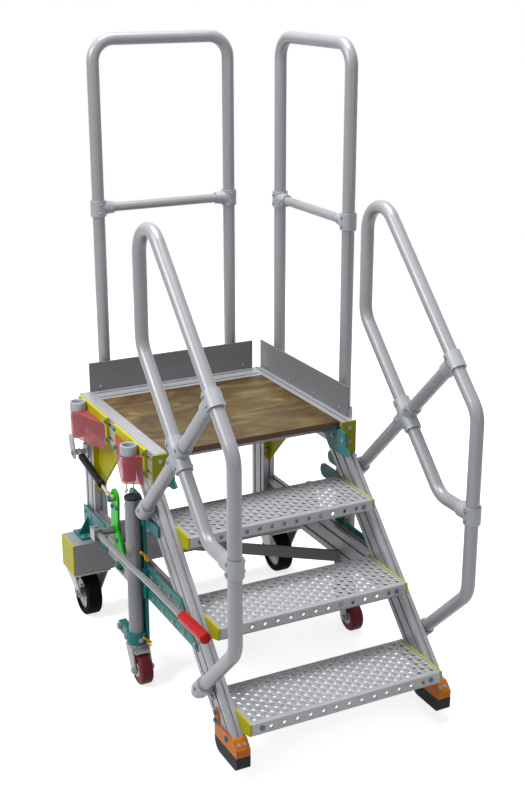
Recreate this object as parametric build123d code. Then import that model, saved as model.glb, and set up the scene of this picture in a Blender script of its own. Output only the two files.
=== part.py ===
from build123d import *
import math
import os

# Mobile aircraft maintenance platform: a three-step stair, a guarded deck and a hand lever
# that raises and lowers the two front castors. Lengths in millimetres, X across the stair,
# Y from the foot of the stair to the rear, Z up from the floor.

# Stair
STEP_RISE = 200.0
STEP_GOING = 200.0
STEP_COUNT = 3
FIRST_STEP_HEIGHT = 180.0
TREAD_DEPTH = 222.0
TREAD_LIP = 36.0
TREAD_SHEET = 3.0
TREAD_HOLE_RADIUS = 7.5
TREAD_HOLE_SIDES = 6
TREAD_HOLE_PITCH = 42.0
TREAD_HOLE_ROW = 28.0
TREAD_HOLE_MARGIN = 26.0
NOSE_HOLE_RADIUS = 6.0
END_PLATE_THICK = 6.0
END_PLATE_DROP = 54.0
STRINGER_WIDTH = 34.0
STRINGER_DEPTH = 85.0
STRINGER_SETBACK = 92.0
STRINGER_PROUD = 8.0
STRINGER_FOOT_HEIGHT = 100.0
FOOT_CLEARANCE = 38.0
PAD_HEIGHT = 42.0
PAD_LENGTH = 142.0
PAD_FRONT_ROUND = 12.0
PAD_REAR_ROUND = 34.0
SHOE_HEIGHT = 46.0
SHOE_WALL = 5.0

# Deck
DECK_WIDTH = 688.0
DECK_LENGTH = 650.0
DECK_OVERLAP = 16.0
BOARD_THICK = 18.0
BOARD_FRONT_EDGE = 10.0
SIDE_MEMBER_WIDTH = 44.0
SIDE_MEMBER_HEIGHT = 90.0
REAR_MEMBER_DEPTH = 92.0
REAR_MEMBER_HEIGHT = 44.0
CROSS_MEMBER_WIDTH = 40.0
CROSS_MEMBER_HEIGHT = 50.0
CROSS_MEMBER_SETBACK = 130.0
TOE_BOARD_HEIGHT = 102.0
TOE_BOARD_THICK = 4.0
TOE_BOARD_INSET = 36.0
TOE_BOARD_START = 30.0
BRACKET_THICK = 6.0
# Outline of the bracket between stringer and deck, from the deck's front and the member's underside
STAIR_BRACKET = (
    (-64.0, 0.0),
    (-42.0, 16.0),
    (-34.0, 64.0),
    (19.0, 64.0),
    (102.0, 30.0),
    (62.0, -16.0),
    (-34.0, -16.0),
)

# Tubes and clamps
TUBE_RADIUS = 20.0
RAIL_RADIUS = 15.0
FIT_GAP = 0.2
CLAMP_WALL = 6.0
BRANCH_WALL = 4.5
BRANCH_GAP = 0.3
CLAMP_LENGTH = 52.0
GUARD_HEIGHT = 1154.0
MID_RAIL_HEIGHT = 617.0
GUARD_BEND = 70.0
REAR_POST_INSET = 106.0
SIDE_POST_SETBACK = 115.0
SIDE_POST_INSET = 77.0
MID_CLAMP_FLARE = 6.0
SOCKET_HEIGHT = 118.0
SOCKET_PLATE_THICK = 9.0
SOCKET_PLATES_APART = 62.0
SOCKET_SHORT_WING = 46.0
SOCKET_PLATE_MARGIN = 16.0

# Handrails, as heights above the line through the tread noses
HANDRAIL_STANDOFF = 2.0
HANDRAIL_ABOVE_NOSE = 834.5
KNEE_ABOVE_NOSE = 374.0
KNEE_BEND_PAST_NOSE = 130.0
POST_AHEAD_OF_NOSE = 27.0
LEG_AHEAD_OF_DECK = 9.0
HANDRAIL_BEND = 80.0
LOW_CLAMP_HEIGHT = 217.0
HIGH_CLAMP_HEIGHT = 613.0
STUB_PAST = 50.0
STRUT_PAST = 34.0

# Base
BEAM_PAST_DECK = 97.0
BEAM_DEPTH = 120.0
BEAM_HEIGHT = 110.0
BEAM_BOTTOM = 178.0
BEAM_WALL = 4.0
BEAM_REAR_INSET = 17.0
CAP_THICK = 5.0
LEG_WIDTH = 44.0
LEG_DEPTH = 90.0
LEG_BRACKET_REACH = 54.0
LEG_BRACKET_HEIGHT = 90.0
LEG_GUSSET_REACH = 235.0
LEG_GUSSET_POINT = 32.0
RAIL_HEIGHT = 100.0
STRIP_THICK = 5.0
STRIP_HEIGHT = 34.0
BRACE_WIDTH = 12.0
BRACE_HEIGHT = 38.0
BRACE_DROP = 10.0
BRACE_RUN = 481.0
SLOT_WIDTH = 9.0
SLOT_DEPTH = 6.0
SLOT_PITCH = 45.0

# Rear castors
REAR_WHEEL_RADIUS = 80.0
REAR_WHEEL_WIDTH = 52.0
REAR_RIM_RADIUS = 58.0
REAR_TYRE_ROUND = 9.0
REAR_RIM_WIDTH = 38.0
RIM_DISH = (28.0, 49.6, 9.0)
CASTOR_INSET = 4.0
FORK_FOOT_DEPTH = 56.0
CASTOR_PLATE = (126.0, 100.0, 6.0)
FORK_WALL = 5.0
WHEEL_GAP = 5.0
AXLE_RADIUS = 6.0
AXLE_BOSS_RADIUS = 17.0

# Front castors and the columns that carry them
COLUMN_PAST_FRONT = 86.0
COLUMN_RADIUS = 24.0
COLUMN_BOTTOM = 127.0
COLUMN_TOP = 623.0
SPINE_WIDTH = 60.0
SPINE_THICK = 8.0
SPINE_EARS = ((600.0, 50.0, 44.0), (535.0, 97.0, 48.0))
COLUMN_CLAMP_HEIGHT = 36.0
COLUMN_CLAMP_WALL = 9.0
CLAMP_EAR = (23.0, 104.0, 14.0)
FRONT_WHEEL_RADIUS = 50.0
FRONT_WHEEL_WIDTH = 40.0
FRONT_TRAIL = 40.0
FRONT_WHEEL_ROUND = 8.0
FRONT_FORK_TAIL = 24.0
SWIVEL_HEAD_HEIGHT = 13.0
GUIDE_LIP = 6.0
GUIDE_DEPTH = 12.0
GUIDE_GAP = 0.4
UPPER_GUIDE = (536.0, 570.0)
UPPER_GUIDE_REACH = 110.0

# Lever, its cross shaft and the gas spring
SHAFT_BEHIND_COLUMN = 220.0
SHAFT_ABOVE_RAIL = 32.0
SHAFT_RADIUS = 13.0
BEARING_RADIUS = 26.0
LEVER_CLEARANCE = 6.5
LEVER_LENGTH = 840.0
LEVER_RISE = 31.0
LEVER_RADIUS = 9.5
GRIP_LENGTH = 158.0
GRIP_RADIUS = 17.0
GRIP_ROUND = 4.75
HUB_SIZE = 40.0
LEVER_SWING = 22.0
CRANK_STANDOFF = 5.5
CRANK_THICK = 8.0
CRANK_WIDTH = 60.0
CRANK_HUB_RADIUS = 33.0
CRANK_TOP = (-10.0, 116.0)
CRANK_LOW = (-62.0, -100.0)
CRANK_PIN_RADIUS = 8.0
YOKE_PLAY = 5.0
YOKE_WALL = 10.0
YOKE_THICK = 8.0
YOKE_GAP = 4.0
SPRING_EYE_INSET = 29.0
SPRING_EYE_DROP = 100.0
SPRING_MOUNT_SIZE = 45.0
SPRING_BODY_RADIUS = 13.0
SPRING_ROD_SHOWN = 90.0
SPRING_ROD_RADIUS = 5.0
SPRING_NECK = 34.0
SPRING_EYE_RADIUS = 9.0
SPRING_EYE_THICK = 12.0
SPRING_STANDOFF = 3.0

# Places worked out from the sizes above. The lowest nose is at Y = NOSE_Y.
DECK_HEIGHT = FIRST_STEP_HEIGHT + STEP_COUNT * STEP_RISE
DECK_FRONT = STEP_COUNT * STEP_GOING - DECK_OVERLAP
DECK_REAR = DECK_FRONT + DECK_LENGTH
POST_OFFSET = SOCKET_PLATE_THICK + TUBE_RADIUS + CLAMP_WALL
SIDE_POST_SPACING = DECK_LENGTH - SIDE_POST_SETBACK - SIDE_POST_INSET
SOCKET_LONG_WING = (SIDE_POST_SPACING - SOCKET_PLATES_APART) / 2 - SOCKET_PLATE_MARGIN
FRONT_REACH = POST_AHEAD_OF_NOSE + TUBE_RADIUS + CLAMP_WALL
REAR_REACH = DECK_REAR + POST_OFFSET + TUBE_RADIUS + CLAMP_WALL
NOSE_Y = (FRONT_REACH - REAR_REACH) / 2
SLOPE = math.atan2(STEP_RISE, STEP_GOING)
CLAMP_RADIUS = TUBE_RADIUS + CLAMP_WALL
STRINGER_OUT = DECK_WIDTH / 2 + STRINGER_PROUD
STRINGER_IN = STRINGER_OUT - STRINGER_WIDTH
TREAD_HALF = STRINGER_IN - END_PLATE_THICK
HANDRAIL_X = STRINGER_OUT + HANDRAIL_STANDOFF + TUBE_RADIUS
BEAM_HALF_LENGTH = DECK_WIDTH / 2 + BEAM_PAST_DECK
REAR_CASTOR_X = BEAM_HALF_LENGTH - CASTOR_INSET - CASTOR_PLATE[0] / 2
BEAM_REAR = NOSE_Y + DECK_REAR - BEAM_REAR_INSET
BEAM_FRONT = BEAM_REAR - BEAM_DEPTH
BEAM_TOP = BEAM_BOTTOM + BEAM_HEIGHT
RAIL_TOP = BEAM_TOP + RAIL_HEIGHT
MEMBER_BOTTOM = DECK_HEIGHT - SIDE_MEMBER_HEIGHT
COLUMN_X = STRINGER_OUT + SPINE_THICK + COLUMN_RADIUS
COLUMN_Y = NOSE_Y + DECK_FRONT + COLUMN_PAST_FRONT
CRANK_SHAFT = (COLUMN_Y + SHAFT_BEHIND_COLUMN, RAIL_TOP + SHAFT_ABOVE_RAIL)
CRANK_X = STRINGER_OUT + CRANK_STANDOFF + CRANK_THICK / 2
LEVER_X = COLUMN_X + COLUMN_RADIUS + LEVER_CLEARANCE + LEVER_RADIUS
SPRING_EYE = (BEAM_REAR - SPRING_EYE_INSET, MEMBER_BOTTOM - SPRING_EYE_DROP)
SPRING_X = CRANK_X + CRANK_THICK / 2 + SPRING_STANDOFF + SPRING_EYE_THICK / 2


def swung(arm, degrees):
    """A crank arm (y, z) after the lever's front end has risen by an angle."""
    turn = math.radians(degrees)
    y, z = arm
    return (y * math.cos(turn) + z * math.sin(turn), z * math.cos(turn) - y * math.sin(turn))


def block(x, y, z):
    """A box from its two bounds on each axis."""
    place = Pos(sum(x) / 2, sum(y) / 2, sum(z) / 2)
    return place * Box(abs(x[1] - x[0]), abs(y[1] - y[0]), abs(z[1] - z[0]))


def plate(outline, x):
    """A side plate: an outline in (y, z) given a thickness between two X bounds."""
    face = Plane.YZ.offset(x[0]) * make_face(Polyline(*outline, close=True))
    return extrude(face, x[1] - x[0], dir=(1, 0, 0))


def rod(start, end, radius, end_radius=None):
    """A round bar between two points, tapered where its end has a radius of its own."""
    axis = Vector(*end) - Vector(*start)
    base = (Align.CENTER, Align.CENTER, Align.MIN)
    if end_radius is None:
        bar = Cylinder(radius, axis.length, align=base)
    else:
        bar = Cone(radius, end_radius, axis.length, align=base)
    return Plane(origin=start, z_dir=axis) * bar


def slotted_section(width, height):
    """The section of a rectangular extrusion, with open grooves along every face."""
    section = Rectangle(width, height)
    groove = Rectangle(SLOT_WIDTH, 2 * SLOT_DEPTH)
    for face, depth, turn in ((width, height, 0), (height, width, 90)):
        count = max(1, round(face / SLOT_PITCH))
        for i in range(count):
            middle = (i + 0.5) * face / count - face / 2
            for side in (-1, 1):
                section -= Rot(0, 0, turn) * Pos(middle, side * depth / 2) * groove
    return section


def line_meet(p, d, q, e):
    """Where the line through p along d meets the line through q along e, in (y, z)."""
    cross = d[0] * e[1] - d[1] * e[0]
    t = ((q[0] - p[0]) * e[1] - (q[1] - p[1]) * e[0]) / cross
    return (p[0] + t * d[0], p[1] + t * d[1])


def along(p, d, distance):
    """The point reached from p by going a distance along d, in (y, z)."""
    return (p[0] + d[0] * distance, p[1] + d[1] * distance)


def other_side(shape):
    """The same piece on the left of the platform."""
    return mirror(shape, about=Plane.YZ)


def both_sides(shape):
    """A piece on the right and its twin on the left."""
    return [shape, other_side(shape)]


def save(name, shapes):
    """Writes one node, of one solid or of several that do not touch."""
    shapes = shapes if isinstance(shapes, list) else [shapes]
    solids = [solid for shape in shapes for solid in shape.solids()]
    node = solids[0] if len(solids) == 1 else Compound(children=solids)
    export_step(node, f"parts/{name}.step")


# Directions along and square to the stair's slope, in (y, z)
UP = (math.cos(SLOPE), math.sin(SLOPE))
DOWN_BACK = (math.sin(SLOPE), -math.cos(SLOPE))
STRINGER_FRONT = (NOSE_Y + STRINGER_SETBACK, FIRST_STEP_HEIGHT)
STRINGER_REAR = along(STRINGER_FRONT, DOWN_BACK, STRINGER_DEPTH)
STRINGER_MID = along(STRINGER_FRONT, DOWN_BACK, STRINGER_DEPTH / 2)


def slope_at(origin, height):
    """The point at a height on the line through origin that runs up the stair."""
    return line_meet(origin, UP, (0, height), (1, 0))


def perforated(width, depth, holes, radius, thick):
    """A flat sheet from Z = 0 up, with many-sided holes at the given places."""
    hole = RegularPolygon(radius, TREAD_HOLE_SIDES)
    sheet = Rectangle(width, depth) - [Pos(*place) * hole for place in holes]
    return extrude(sheet, thick)


def make_tread():
    """A folded tread, its nose at Y = 0 and its top at Z = 0, with staggered holes."""
    width = 2 * TREAD_HALF
    across = int((width - 2 * TREAD_HOLE_MARGIN) / TREAD_HOLE_PITCH)
    rows = int((TREAD_DEPTH - 2 * TREAD_HOLE_MARGIN) / TREAD_HOLE_ROW)
    holes = []
    for row in range(rows + 1):
        count = across + 1 - row % 2
        for i in range(count):
            x = (i - (count - 1) / 2) * TREAD_HOLE_PITCH
            holes.append((x, (row - rows / 2) * TREAD_HOLE_ROW))
    top = perforated(width, TREAD_DEPTH, holes, TREAD_HOLE_RADIUS, TREAD_SHEET)
    tread = Pos(0, TREAD_DEPTH / 2, -TREAD_SHEET) * top
    nose_holes = [((i - across / 2) * TREAD_HOLE_PITCH, 0) for i in range(across + 1)]
    nose = perforated(width, TREAD_LIP, nose_holes, NOSE_HOLE_RADIUS, TREAD_SHEET)
    tread += Pos(0, TREAD_SHEET, -TREAD_LIP / 2) * Rot(90, 0, 0) * nose
    back = (TREAD_DEPTH - TREAD_SHEET, TREAD_DEPTH)
    return tread + block((-TREAD_HALF, TREAD_HALF), back, (-TREAD_LIP, 0))


def make_stair():
    """Stringers, treads with their end plates, and the rubber feet in their shoes."""
    middle = (STRINGER_IN + STRINGER_OUT) / 2
    place = Plane(origin=(middle, *STRINGER_MID), z_dir=(0, *UP), x_dir=(1, 0, 0))
    reach = 4 * DECK_HEIGHT
    bar = extrude(place * slotted_section(STRINGER_WIDTH, STRINGER_DEPTH), reach, both=True)
    span = (STRINGER_FOOT_HEIGHT, MEMBER_BOTTOM)
    keep = block((STRINGER_IN, STRINGER_OUT), (-reach, reach), span)
    save("stringers", both_sides(bar & keep))

    tread = make_tread()
    outline = [
        (0, 0),
        (TREAD_DEPTH, 0),
        (TREAD_DEPTH, -END_PLATE_DROP),
        (END_PLATE_DROP, -END_PLATE_DROP),
        (0, -TREAD_LIP),
    ]
    end_plate = plate(outline, (TREAD_HALF, STRINGER_IN))
    end_plates = []
    for step in range(STEP_COUNT):
        site = Pos(0, NOSE_Y + step * STEP_GOING, FIRST_STEP_HEIGHT + step * STEP_RISE)
        save(f"tread_{step + 1}", site * tread)
        end_plates += both_sides(site * end_plate)
    save("tread_end_plates", end_plates)

    foot_front = slope_at(STRINGER_FRONT, STRINGER_FOOT_HEIGHT)[0] - SHOE_WALL
    foot_x = (STRINGER_IN - SHOE_WALL, STRINGER_OUT + SHOE_WALL)
    foot_y = (foot_front, foot_front + PAD_LENGTH)
    pad_top = FOOT_CLEARANCE + PAD_HEIGHT
    pad = block(foot_x, foot_y, (FOOT_CLEARANCE, pad_top))
    for edge, size in ((0, PAD_FRONT_ROUND), (-1, PAD_REAR_ROUND)):
        low_edges = pad.edges().filter_by(Axis.X).group_by(Axis.Z)[0]
        pad = fillet(low_edges.sort_by(Axis.Y)[edge], size)
    save("foot_pads", both_sides(pad))
    shoe = block(foot_x, foot_y, (pad_top, pad_top + SHOE_HEIGHT))
    shoe -= plate(
        [
            slope_at(STRINGER_FRONT, STRINGER_FOOT_HEIGHT),
            slope_at(STRINGER_REAR, STRINGER_FOOT_HEIGHT),
            slope_at(STRINGER_REAR, DECK_HEIGHT),
            slope_at(STRINGER_FRONT, DECK_HEIGHT),
        ],
        (STRINGER_IN, STRINGER_OUT),
    )
    cover = along(STRINGER_FRONT, DOWN_BACK, -SHOE_WALL)
    shoe -= plate(
        [slope_at(cover, 0), slope_at(cover, DECK_HEIGHT), (foot_front - DECK_HEIGHT, DECK_HEIGHT)], foot_x
    )
    save("foot_shoes", both_sides(shoe.solids().sort_by(SortBy.VOLUME)[-1]))


def make_deck():
    """The board, the members under it, corner and stair brackets and toe boards."""
    front = NOSE_Y + DECK_FRONT
    rear = NOSE_Y + DECK_REAR
    half = DECK_WIDTH / 2
    inner = half - SIDE_MEMBER_WIDTH
    board_y = (front + BOARD_FRONT_EDGE, rear - REAR_MEMBER_DEPTH)
    board_z = (DECK_HEIGHT - BOARD_THICK, DECK_HEIGHT)
    save("deck_board", block((-inner, inner), board_y, board_z))

    place = Plane(
        origin=(half - SIDE_MEMBER_WIDTH / 2, front, DECK_HEIGHT - SIDE_MEMBER_HEIGHT / 2),
        x_dir=(1, 0, 0),
        z_dir=(0, 1, 0),
    )
    section = slotted_section(SIDE_MEMBER_WIDTH, SIDE_MEMBER_HEIGHT)
    save("deck_sides", both_sides(extrude(place * section, DECK_LENGTH, dir=(0, 1, 0))))

    place = Plane(
        origin=(-inner, rear - REAR_MEMBER_DEPTH / 2, DECK_HEIGHT - REAR_MEMBER_HEIGHT / 2),
        x_dir=(0, 1, 0),
        z_dir=(1, 0, 0),
    )
    section = slotted_section(REAR_MEMBER_DEPTH, REAR_MEMBER_HEIGHT)
    save("deck_rear_member", extrude(place * section, 2 * inner, dir=(1, 0, 0)))

    cross_z = (board_z[0] - CROSS_MEMBER_HEIGHT, board_z[0])
    cross = []
    for setback in (CROSS_MEMBER_SETBACK, DECK_LENGTH - CROSS_MEMBER_SETBACK - REAR_MEMBER_DEPTH):
        y = (front + setback - CROSS_MEMBER_WIDTH / 2, front + setback + CROSS_MEMBER_WIDTH / 2)
        cross.append(block((-inner, inner), y, cross_z))
    save("deck_cross_members", cross)

    low = line_meet(STRINGER_FRONT, UP, (front, 0), (0, 1))[1]
    bracket = block((inner, STRINGER_OUT), (front - BRACKET_THICK, front), (low, DECK_HEIGHT))
    save("corner_brackets", both_sides(bracket))

    outline = [(front + y, MEMBER_BOTTOM + z) for y, z in STAIR_BRACKET]
    stair_bracket = plate(outline, (inner - BRACKET_THICK, inner))
    tail = (front + BRACKET_THICK, outline[-2][0])
    stair_bracket += block((inner - BRACKET_THICK, STRINGER_IN), tail, (outline[-1][1], MEMBER_BOTTOM))
    save("stair_brackets", both_sides(stair_bracket))

    toe_z = (DECK_HEIGHT, DECK_HEIGHT + TOE_BOARD_HEIGHT)
    toe_half = half - TOE_BOARD_INSET
    toe_rear = rear - TOE_BOARD_THICK
    rear_board = block((-toe_half, toe_half), (toe_rear, rear), toe_z)
    side_board = block((half - TOE_BOARD_THICK, half), (front + TOE_BOARD_START, toe_rear), toe_z)
    save("toe_boards", [rear_board, side_board])


def guard_frame(spacing):
    """An inverted-U guardrail of two posts, standing in the XZ plane, from the socket up."""
    foot = DECK_HEIGHT - SOCKET_HEIGHT
    top = DECK_HEIGHT + GUARD_HEIGHT
    half = spacing / 2
    corners = [(-half, 0, foot), (-half, 0, top), (half, 0, top), (half, 0, foot)]
    path = FilletPolyline(*corners, radius=GUARD_BEND)
    return sweep(Plane(origin=path @ 0, z_dir=path % 0) * Circle(TUBE_RADIUS), path=path)


def tee_clamp(place, run, branch, branch_radius, flare=0.0):
    """A tube fitting: a sleeve round the run with a shorter sleeve along the branch."""
    middle = Vector(*place)
    half = Vector(*run) * (CLAMP_LENGTH / 2)
    reach = Vector(*branch) * CLAMP_LENGTH
    tip_radius = branch_radius + BRANCH_WALL
    body = rod(tuple(middle - half), tuple(middle + half), CLAMP_RADIUS)
    if flare:
        body += rod(place, tuple(middle + reach), tip_radius + flare, tip_radius)
    else:
        body += rod(place, tuple(middle + reach), tip_radius)
    body -= rod(tuple(middle - half * 2), tuple(middle + half * 2), TUBE_RADIUS + FIT_GAP)
    body -= rod(place, tuple(middle + reach * 2), branch_radius + BRANCH_GAP)
    return body.solids().sort_by(SortBy.VOLUME)[-1]


def tangent_point(reach):
    """Where the outer wall of a wing this long leaves the round of its socket."""
    turn = 2 * math.atan2(CLAMP_RADIUS, reach) - math.pi / 2
    return (CLAMP_RADIUS * math.cos(turn), CLAMP_RADIUS * math.sin(turn))


def post_socket():
    """A sleeve for a guardrail post, its axis on Z, with wings to its plate on +Y, the long one on +X."""
    foot = DECK_HEIGHT - SOCKET_HEIGHT
    long_root = tangent_point(SOCKET_LONG_WING)
    short_root = tangent_point(SOCKET_SHORT_WING)
    wings = Polyline(
        long_root,
        (SOCKET_LONG_WING, CLAMP_RADIUS),
        (-SOCKET_SHORT_WING, CLAMP_RADIUS),
        (-short_root[0], short_root[1]),
        close=True,
    )
    socket = extrude(Pos(0, 0, foot) * Circle(CLAMP_RADIUS), SOCKET_HEIGHT)
    socket += extrude(Pos(0, 0, foot) * make_face(wings), SIDE_MEMBER_HEIGHT)
    return socket - rod((0, 0, foot), (0, 0, DECK_HEIGHT), TUBE_RADIUS + FIT_GAP)


def make_guards():
    """Post sockets on three sides of the deck, and guardrails on the rear and the right."""
    front = NOSE_Y + DECK_FRONT
    rear = NOSE_Y + DECK_REAR
    out = DECK_WIDTH / 2 + POST_OFFSET
    rear_spacing = DECK_WIDTH - 2 * REAR_POST_INSET
    side_posts = (front + SIDE_POST_SETBACK, rear - SIDE_POST_INSET)
    backing = block(
        (-SOCKET_SHORT_WING - SOCKET_PLATE_MARGIN, SOCKET_LONG_WING + SOCKET_PLATE_MARGIN),
        (CLAMP_RADIUS, POST_OFFSET),
        (MEMBER_BOTTOM, DECK_HEIGHT),
    )
    pair = [post_socket(), backing]
    twin = [other_side(piece) for piece in pair]
    right = Rot(0, 0, 90)
    middle = Rot(0, 0, 180)
    right_pairs = [
        [Pos(out, side_posts[0]) * right * piece for piece in pair],
        [Pos(out, side_posts[1]) * right * piece for piece in twin],
    ]
    rear_pair = [Pos(rear_spacing / 2, rear + POST_OFFSET) * middle * piece for piece in pair]
    guard_pairs = right_pairs + [rear_pair, [other_side(piece) for piece in rear_pair]]
    left_pairs = [[other_side(piece) for piece in side] for side in right_pairs]
    save("post_sockets_left", [socket for socket, _ in left_pairs])
    save("post_sockets_guard", [socket for socket, _ in guard_pairs])
    save("socket_plates", [piece for _, piece in left_pairs + guard_pairs])

    clamps = []
    mid_rails = []
    height = DECK_HEIGHT + MID_RAIL_HEIGHT
    for name, spacing, site in (
        ("rear", rear_spacing, Pos(0, rear + POST_OFFSET)),
        ("right", SIDE_POST_SPACING, Pos(out, sum(side_posts) / 2) * Rot(0, 0, 90)),
    ):
        save(f"guardrail_{name}", site * guard_frame(spacing))
        inset = spacing / 2 - TUBE_RADIUS - 2 * FIT_GAP
        mid_rails.append(site * rod((-inset, 0, height), (inset, 0, height), RAIL_RADIUS))
        for side in (-1, 1):
            post = (side * spacing / 2, 0, height)
            clamps.append(site * tee_clamp(post, (0, 0, 1), (-side, 0, 0), RAIL_RADIUS, MID_CLAMP_FLARE))
    save("mid_rails", mid_rails)
    save("guard_clamps", clamps)


def make_handrails():
    """Bent handrail tubes with a cross strut, and the clamps that hold them to the stringers."""
    nose = (NOSE_Y, FIRST_STEP_HEIGHT)
    post_y = NOSE_Y - POST_AHEAD_OF_NOSE
    leg_y = NOSE_Y + DECK_FRONT - LEG_AHEAD_OF_DECK
    upright = (0, 1)
    up_front = (-DOWN_BACK[0], -DOWN_BACK[1])
    slope_line = along(nose, upright, HANDRAIL_ABOVE_NOSE)
    knee_line = along(nose, upright, KNEE_ABOVE_NOSE)
    knee_bend = line_meet(knee_line, UP, (NOSE_Y + KNEE_BEND_PAST_NOSE, 0), upright)
    low = slope_at(STRINGER_MID, LOW_CLAMP_HEIGHT)
    high = slope_at(STRINGER_MID, HIGH_CLAMP_HEIGHT)
    gap = TUBE_RADIUS + 2 * FIT_GAP
    route = [
        along(low, DOWN_BACK, STUB_PAST),
        line_meet(low, DOWN_BACK, (post_y, 0), upright),
        line_meet(slope_line, UP, (post_y, 0), upright),
        line_meet(slope_line, UP, (leg_y, 0), upright),
        line_meet(knee_line, UP, (leg_y, 0), upright),
        knee_bend,
        (post_y + gap, knee_bend[1]),
    ]
    x = HANDRAIL_X
    path = FilletPolyline(*[(x, *p) for p in route], radius=HANDRAIL_BEND)
    tube = sweep(Plane(origin=path @ 0, z_dir=path % 0) * Circle(TUBE_RADIUS), path=path)
    knee = line_meet(high, DOWN_BACK, knee_line, UP)
    top = line_meet(high, DOWN_BACK, slope_line, UP)
    lower = rod((x, *along(high, DOWN_BACK, STRUT_PAST)), (x, *along(knee, DOWN_BACK, gap)), TUBE_RADIUS)
    upper = rod((x, *along(knee, up_front, gap)), (x, *along(top, DOWN_BACK, gap)), TUBE_RADIUS)
    save("handrail_right", [tube, lower, upper])
    save("handrail_left", [other_side(s) for s in (tube, lower, upper)])

    side = [
        tee_clamp((x, *top), (0, *UP), (0, *DOWN_BACK), TUBE_RADIUS),
        tee_clamp((x, post_y, knee_bend[1]), (0, 0, 1), (0, 1, 0), TUBE_RADIUS),
        cross_clamp((x, *knee)),
        saddle((x, *low)),
        saddle((x, *high)),
    ]
    save("handrail_clamps", [c for clamp in side for c in both_sides(clamp)])


def cross_clamp(place):
    """A fitting round the knee rail and the two strut ends that meet it."""
    middle = Vector(*place)
    bodies = []
    bores = []
    for direction, wall, gap in ((UP, CLAMP_WALL, FIT_GAP), (DOWN_BACK, BRANCH_WALL, BRANCH_GAP)):
        reach = Vector(0, *direction) * CLAMP_LENGTH
        bodies.append(rod(tuple(middle - reach), tuple(middle + reach), TUBE_RADIUS + wall))
        bores.append(rod(tuple(middle - reach * 2), tuple(middle + reach * 2), TUBE_RADIUS + gap))
    body = bodies[0] + bodies[1] - bores[0] - bores[1]
    return body.solids().sort_by(SortBy.VOLUME)[-1]


def saddle(place):
    """A half sleeve that holds a handrail tube against the stringer's outer face."""
    half = Vector(0, *DOWN_BACK) * (CLAMP_LENGTH / 2)
    ends = [tuple(Vector(*place) - half), tuple(Vector(*place) + half)]
    body = rod(*ends, CLAMP_RADIUS) - rod(*ends, TUBE_RADIUS + FIT_GAP)
    reach = CLAMP_LENGTH + CLAMP_RADIUS
    y, z = place[1:]
    keep = block((STRINGER_OUT, place[0] + CLAMP_RADIUS), (y - reach, y + reach), (z - reach, z + reach))
    return (body & keep).solids().sort_by(SortBy.VOLUME)[-1]


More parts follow.
